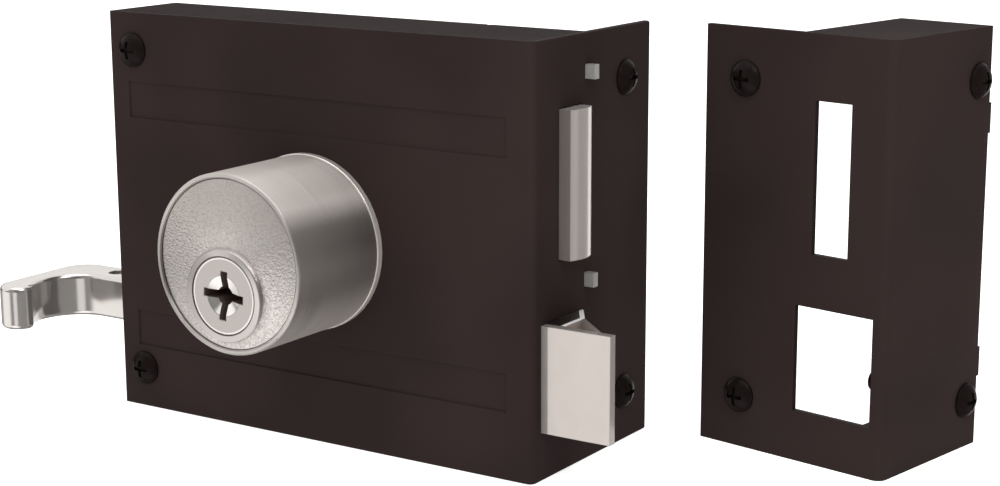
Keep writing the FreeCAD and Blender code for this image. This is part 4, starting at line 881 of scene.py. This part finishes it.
def light_patch(tree, toward, direction, edge, full, brightness):
    """The brightness that one soft-edged patch adds to the surround."""
    facing = add(
        tree, "ShaderNodeVectorMath", {0: toward, 1: direction}, operation="DOT_PRODUCT"
    ).outputs["Value"]
    return add(
        tree,
        "ShaderNodeMapRange",
        {"Value": facing, "From Min": edge, "From Max": full, "To Max": brightness},
        interpolation_type="SMOOTHSTEP",
    ).outputs["Result"]


def make_surround():
    """A white room. The soft light in it comes a little more from the front left. What the metals mirror
    is another room: the upper half is white on the left and dim on the right, with a dark flag in front,
    the lower half is dim with bright patches, and between them the horizon is black."""
    world = bpy.data.worlds.new("studio")
    world.use_nodes = True
    bpy.context.scene.world = world
    tree = world.node_tree
    shown = tree.nodes["Background"]
    toward = add(tree, "ShaderNodeTexCoord").outputs["Generated"]
    height = add(tree, "ShaderNodeSeparateXYZ", {"Vector": toward}).outputs["Z"]

    dim_floor = 0.22
    floor = dim_floor
    for patch in LOW_GLOWS:
        floor = add(
            tree, "ShaderNodeMath", {0: light_patch(tree, toward, *patch), 1: floor}, operation="MAXIMUM"
        ).outputs["Value"]
    below = add(
        tree,
        "ShaderNodeMapRange",
        {"Value": height, "From Min": -0.04, "From Max": -0.13},
        interpolation_type="SMOOTHSTEP",
    ).outputs["Result"]
    floor = add(tree, "ShaderNodeMath", {0: floor, 1: below}, operation="MULTIPLY").outputs["Value"]

    side = add(
        tree, "ShaderNodeVectorMath", {0: toward, 1: LIT_SIDE}, operation="DOT_PRODUCT"
    ).outputs["Value"]
    lit = add(
        tree,
        "ShaderNodeMapRange",
        {"Value": side, "From Min": -0.04, "From Max": 0.04},
        interpolation_type="SMOOTHSTEP",
    ).outputs["Result"]
    high = add(
        tree,
        "ShaderNodeMapRange",
        {"Value": height, "From Min": 0.45, "From Max": 0.75, "To Min": 1.1, "To Max": 1.15},
    ).outputs["Result"]
    dim_side = 0.25
    wall = add(tree, "ShaderNodeMix", {"Factor": lit, "A": dim_side, "B": high}).outputs["Result"]
    above = add(
        tree,
        "ShaderNodeMapRange",
        {"Value": height, "From Min": 0.15, "From Max": 0.19},
        interpolation_type="SMOOTHSTEP",
    ).outputs["Result"]
    wall = add(tree, "ShaderNodeMath", {0: wall, 1: above}, operation="MULTIPLY").outputs["Value"]
    flag = add(
        tree, "ShaderNodeVectorMath", {0: toward, 1: DARK_FLAG}, operation="DOT_PRODUCT"
    ).outputs["Value"]
    unflagged = add(
        tree,
        "ShaderNodeMapRange",
        {"Value": flag, "From Min": 0.93, "From Max": 0.82, "To Min": 0.25},
        interpolation_type="SMOOTHSTEP",
    ).outputs["Result"]
    wall = add(tree, "ShaderNodeMath", {0: wall, 1: unflagged}, operation="MULTIPLY").outputs["Value"]

    mirrored = add(tree, "ShaderNodeMath", {0: floor, 1: wall}, operation="ADD").outputs["Value"]
    for patch in WALL_GLOWS:
        mirrored = add(
            tree, "ShaderNodeMath", {0: light_patch(tree, toward, *patch), 1: mirrored}, operation="MAXIMUM"
        ).outputs["Value"]
    left = add(
        tree, "ShaderNodeVectorMath", {0: toward, 1: SOFT_LIGHT_FROM}, operation="DOT_PRODUCT"
    ).outputs["Value"]
    soft = add(
        tree, "ShaderNodeMapRange", {"Value": left, "From Min": -1.0, "To Min": 0.65, "To Max": 1.2}
    ).outputs["Result"]
    glossy = add(tree, "ShaderNodeLightPath").outputs["Is Glossy Ray"]
    strength = add(tree, "ShaderNodeMix", {"Factor": glossy, "A": soft, "B": mirrored}).outputs["Result"]
    tree.links.new(strength, shown.inputs["Strength"])
    shown.inputs["Color"].default_value = linear("#fffdfb")


def make_light():
    make_surround()
    soft_box("top_light", (0.0, -0.35, 1.3), target=(0, 0, 0), width=1.1, height=0.9, brightness=1.1)
    soft_box(
        "side_light", (0.3, -0.2, 0.36), target=(0.08, 0, 0), width=0.22, height=0.22, brightness=3.4
    )


def make_camera():
    """Seen from the right and a little above, as in the photograph."""
    yaw = math.radians(32.44)
    pitch = math.radians(12.30)  # downwards
    camera = bpy.data.cameras.new("camera")
    camera.sensor_width = 36.0
    camera.lens = 73.52
    camera.shift_x = -0.03245
    camera.shift_y = 0.00125
    holder = bpy.data.objects.new("camera", camera)
    holder.location = (0.2902, -0.3846, 0.09965)
    level = math.pi / 2
    holder.rotation_euler = (level - pitch, 0.0, yaw)
    bpy.context.scene.collection.objects.link(holder)
    bpy.context.scene.camera = holder
    bpy.context.scene.view_settings.view_transform = "Standard"


dress_everything()
make_keyway_mouth()
make_latch_coil()
make_floor()
make_light()
make_camera()
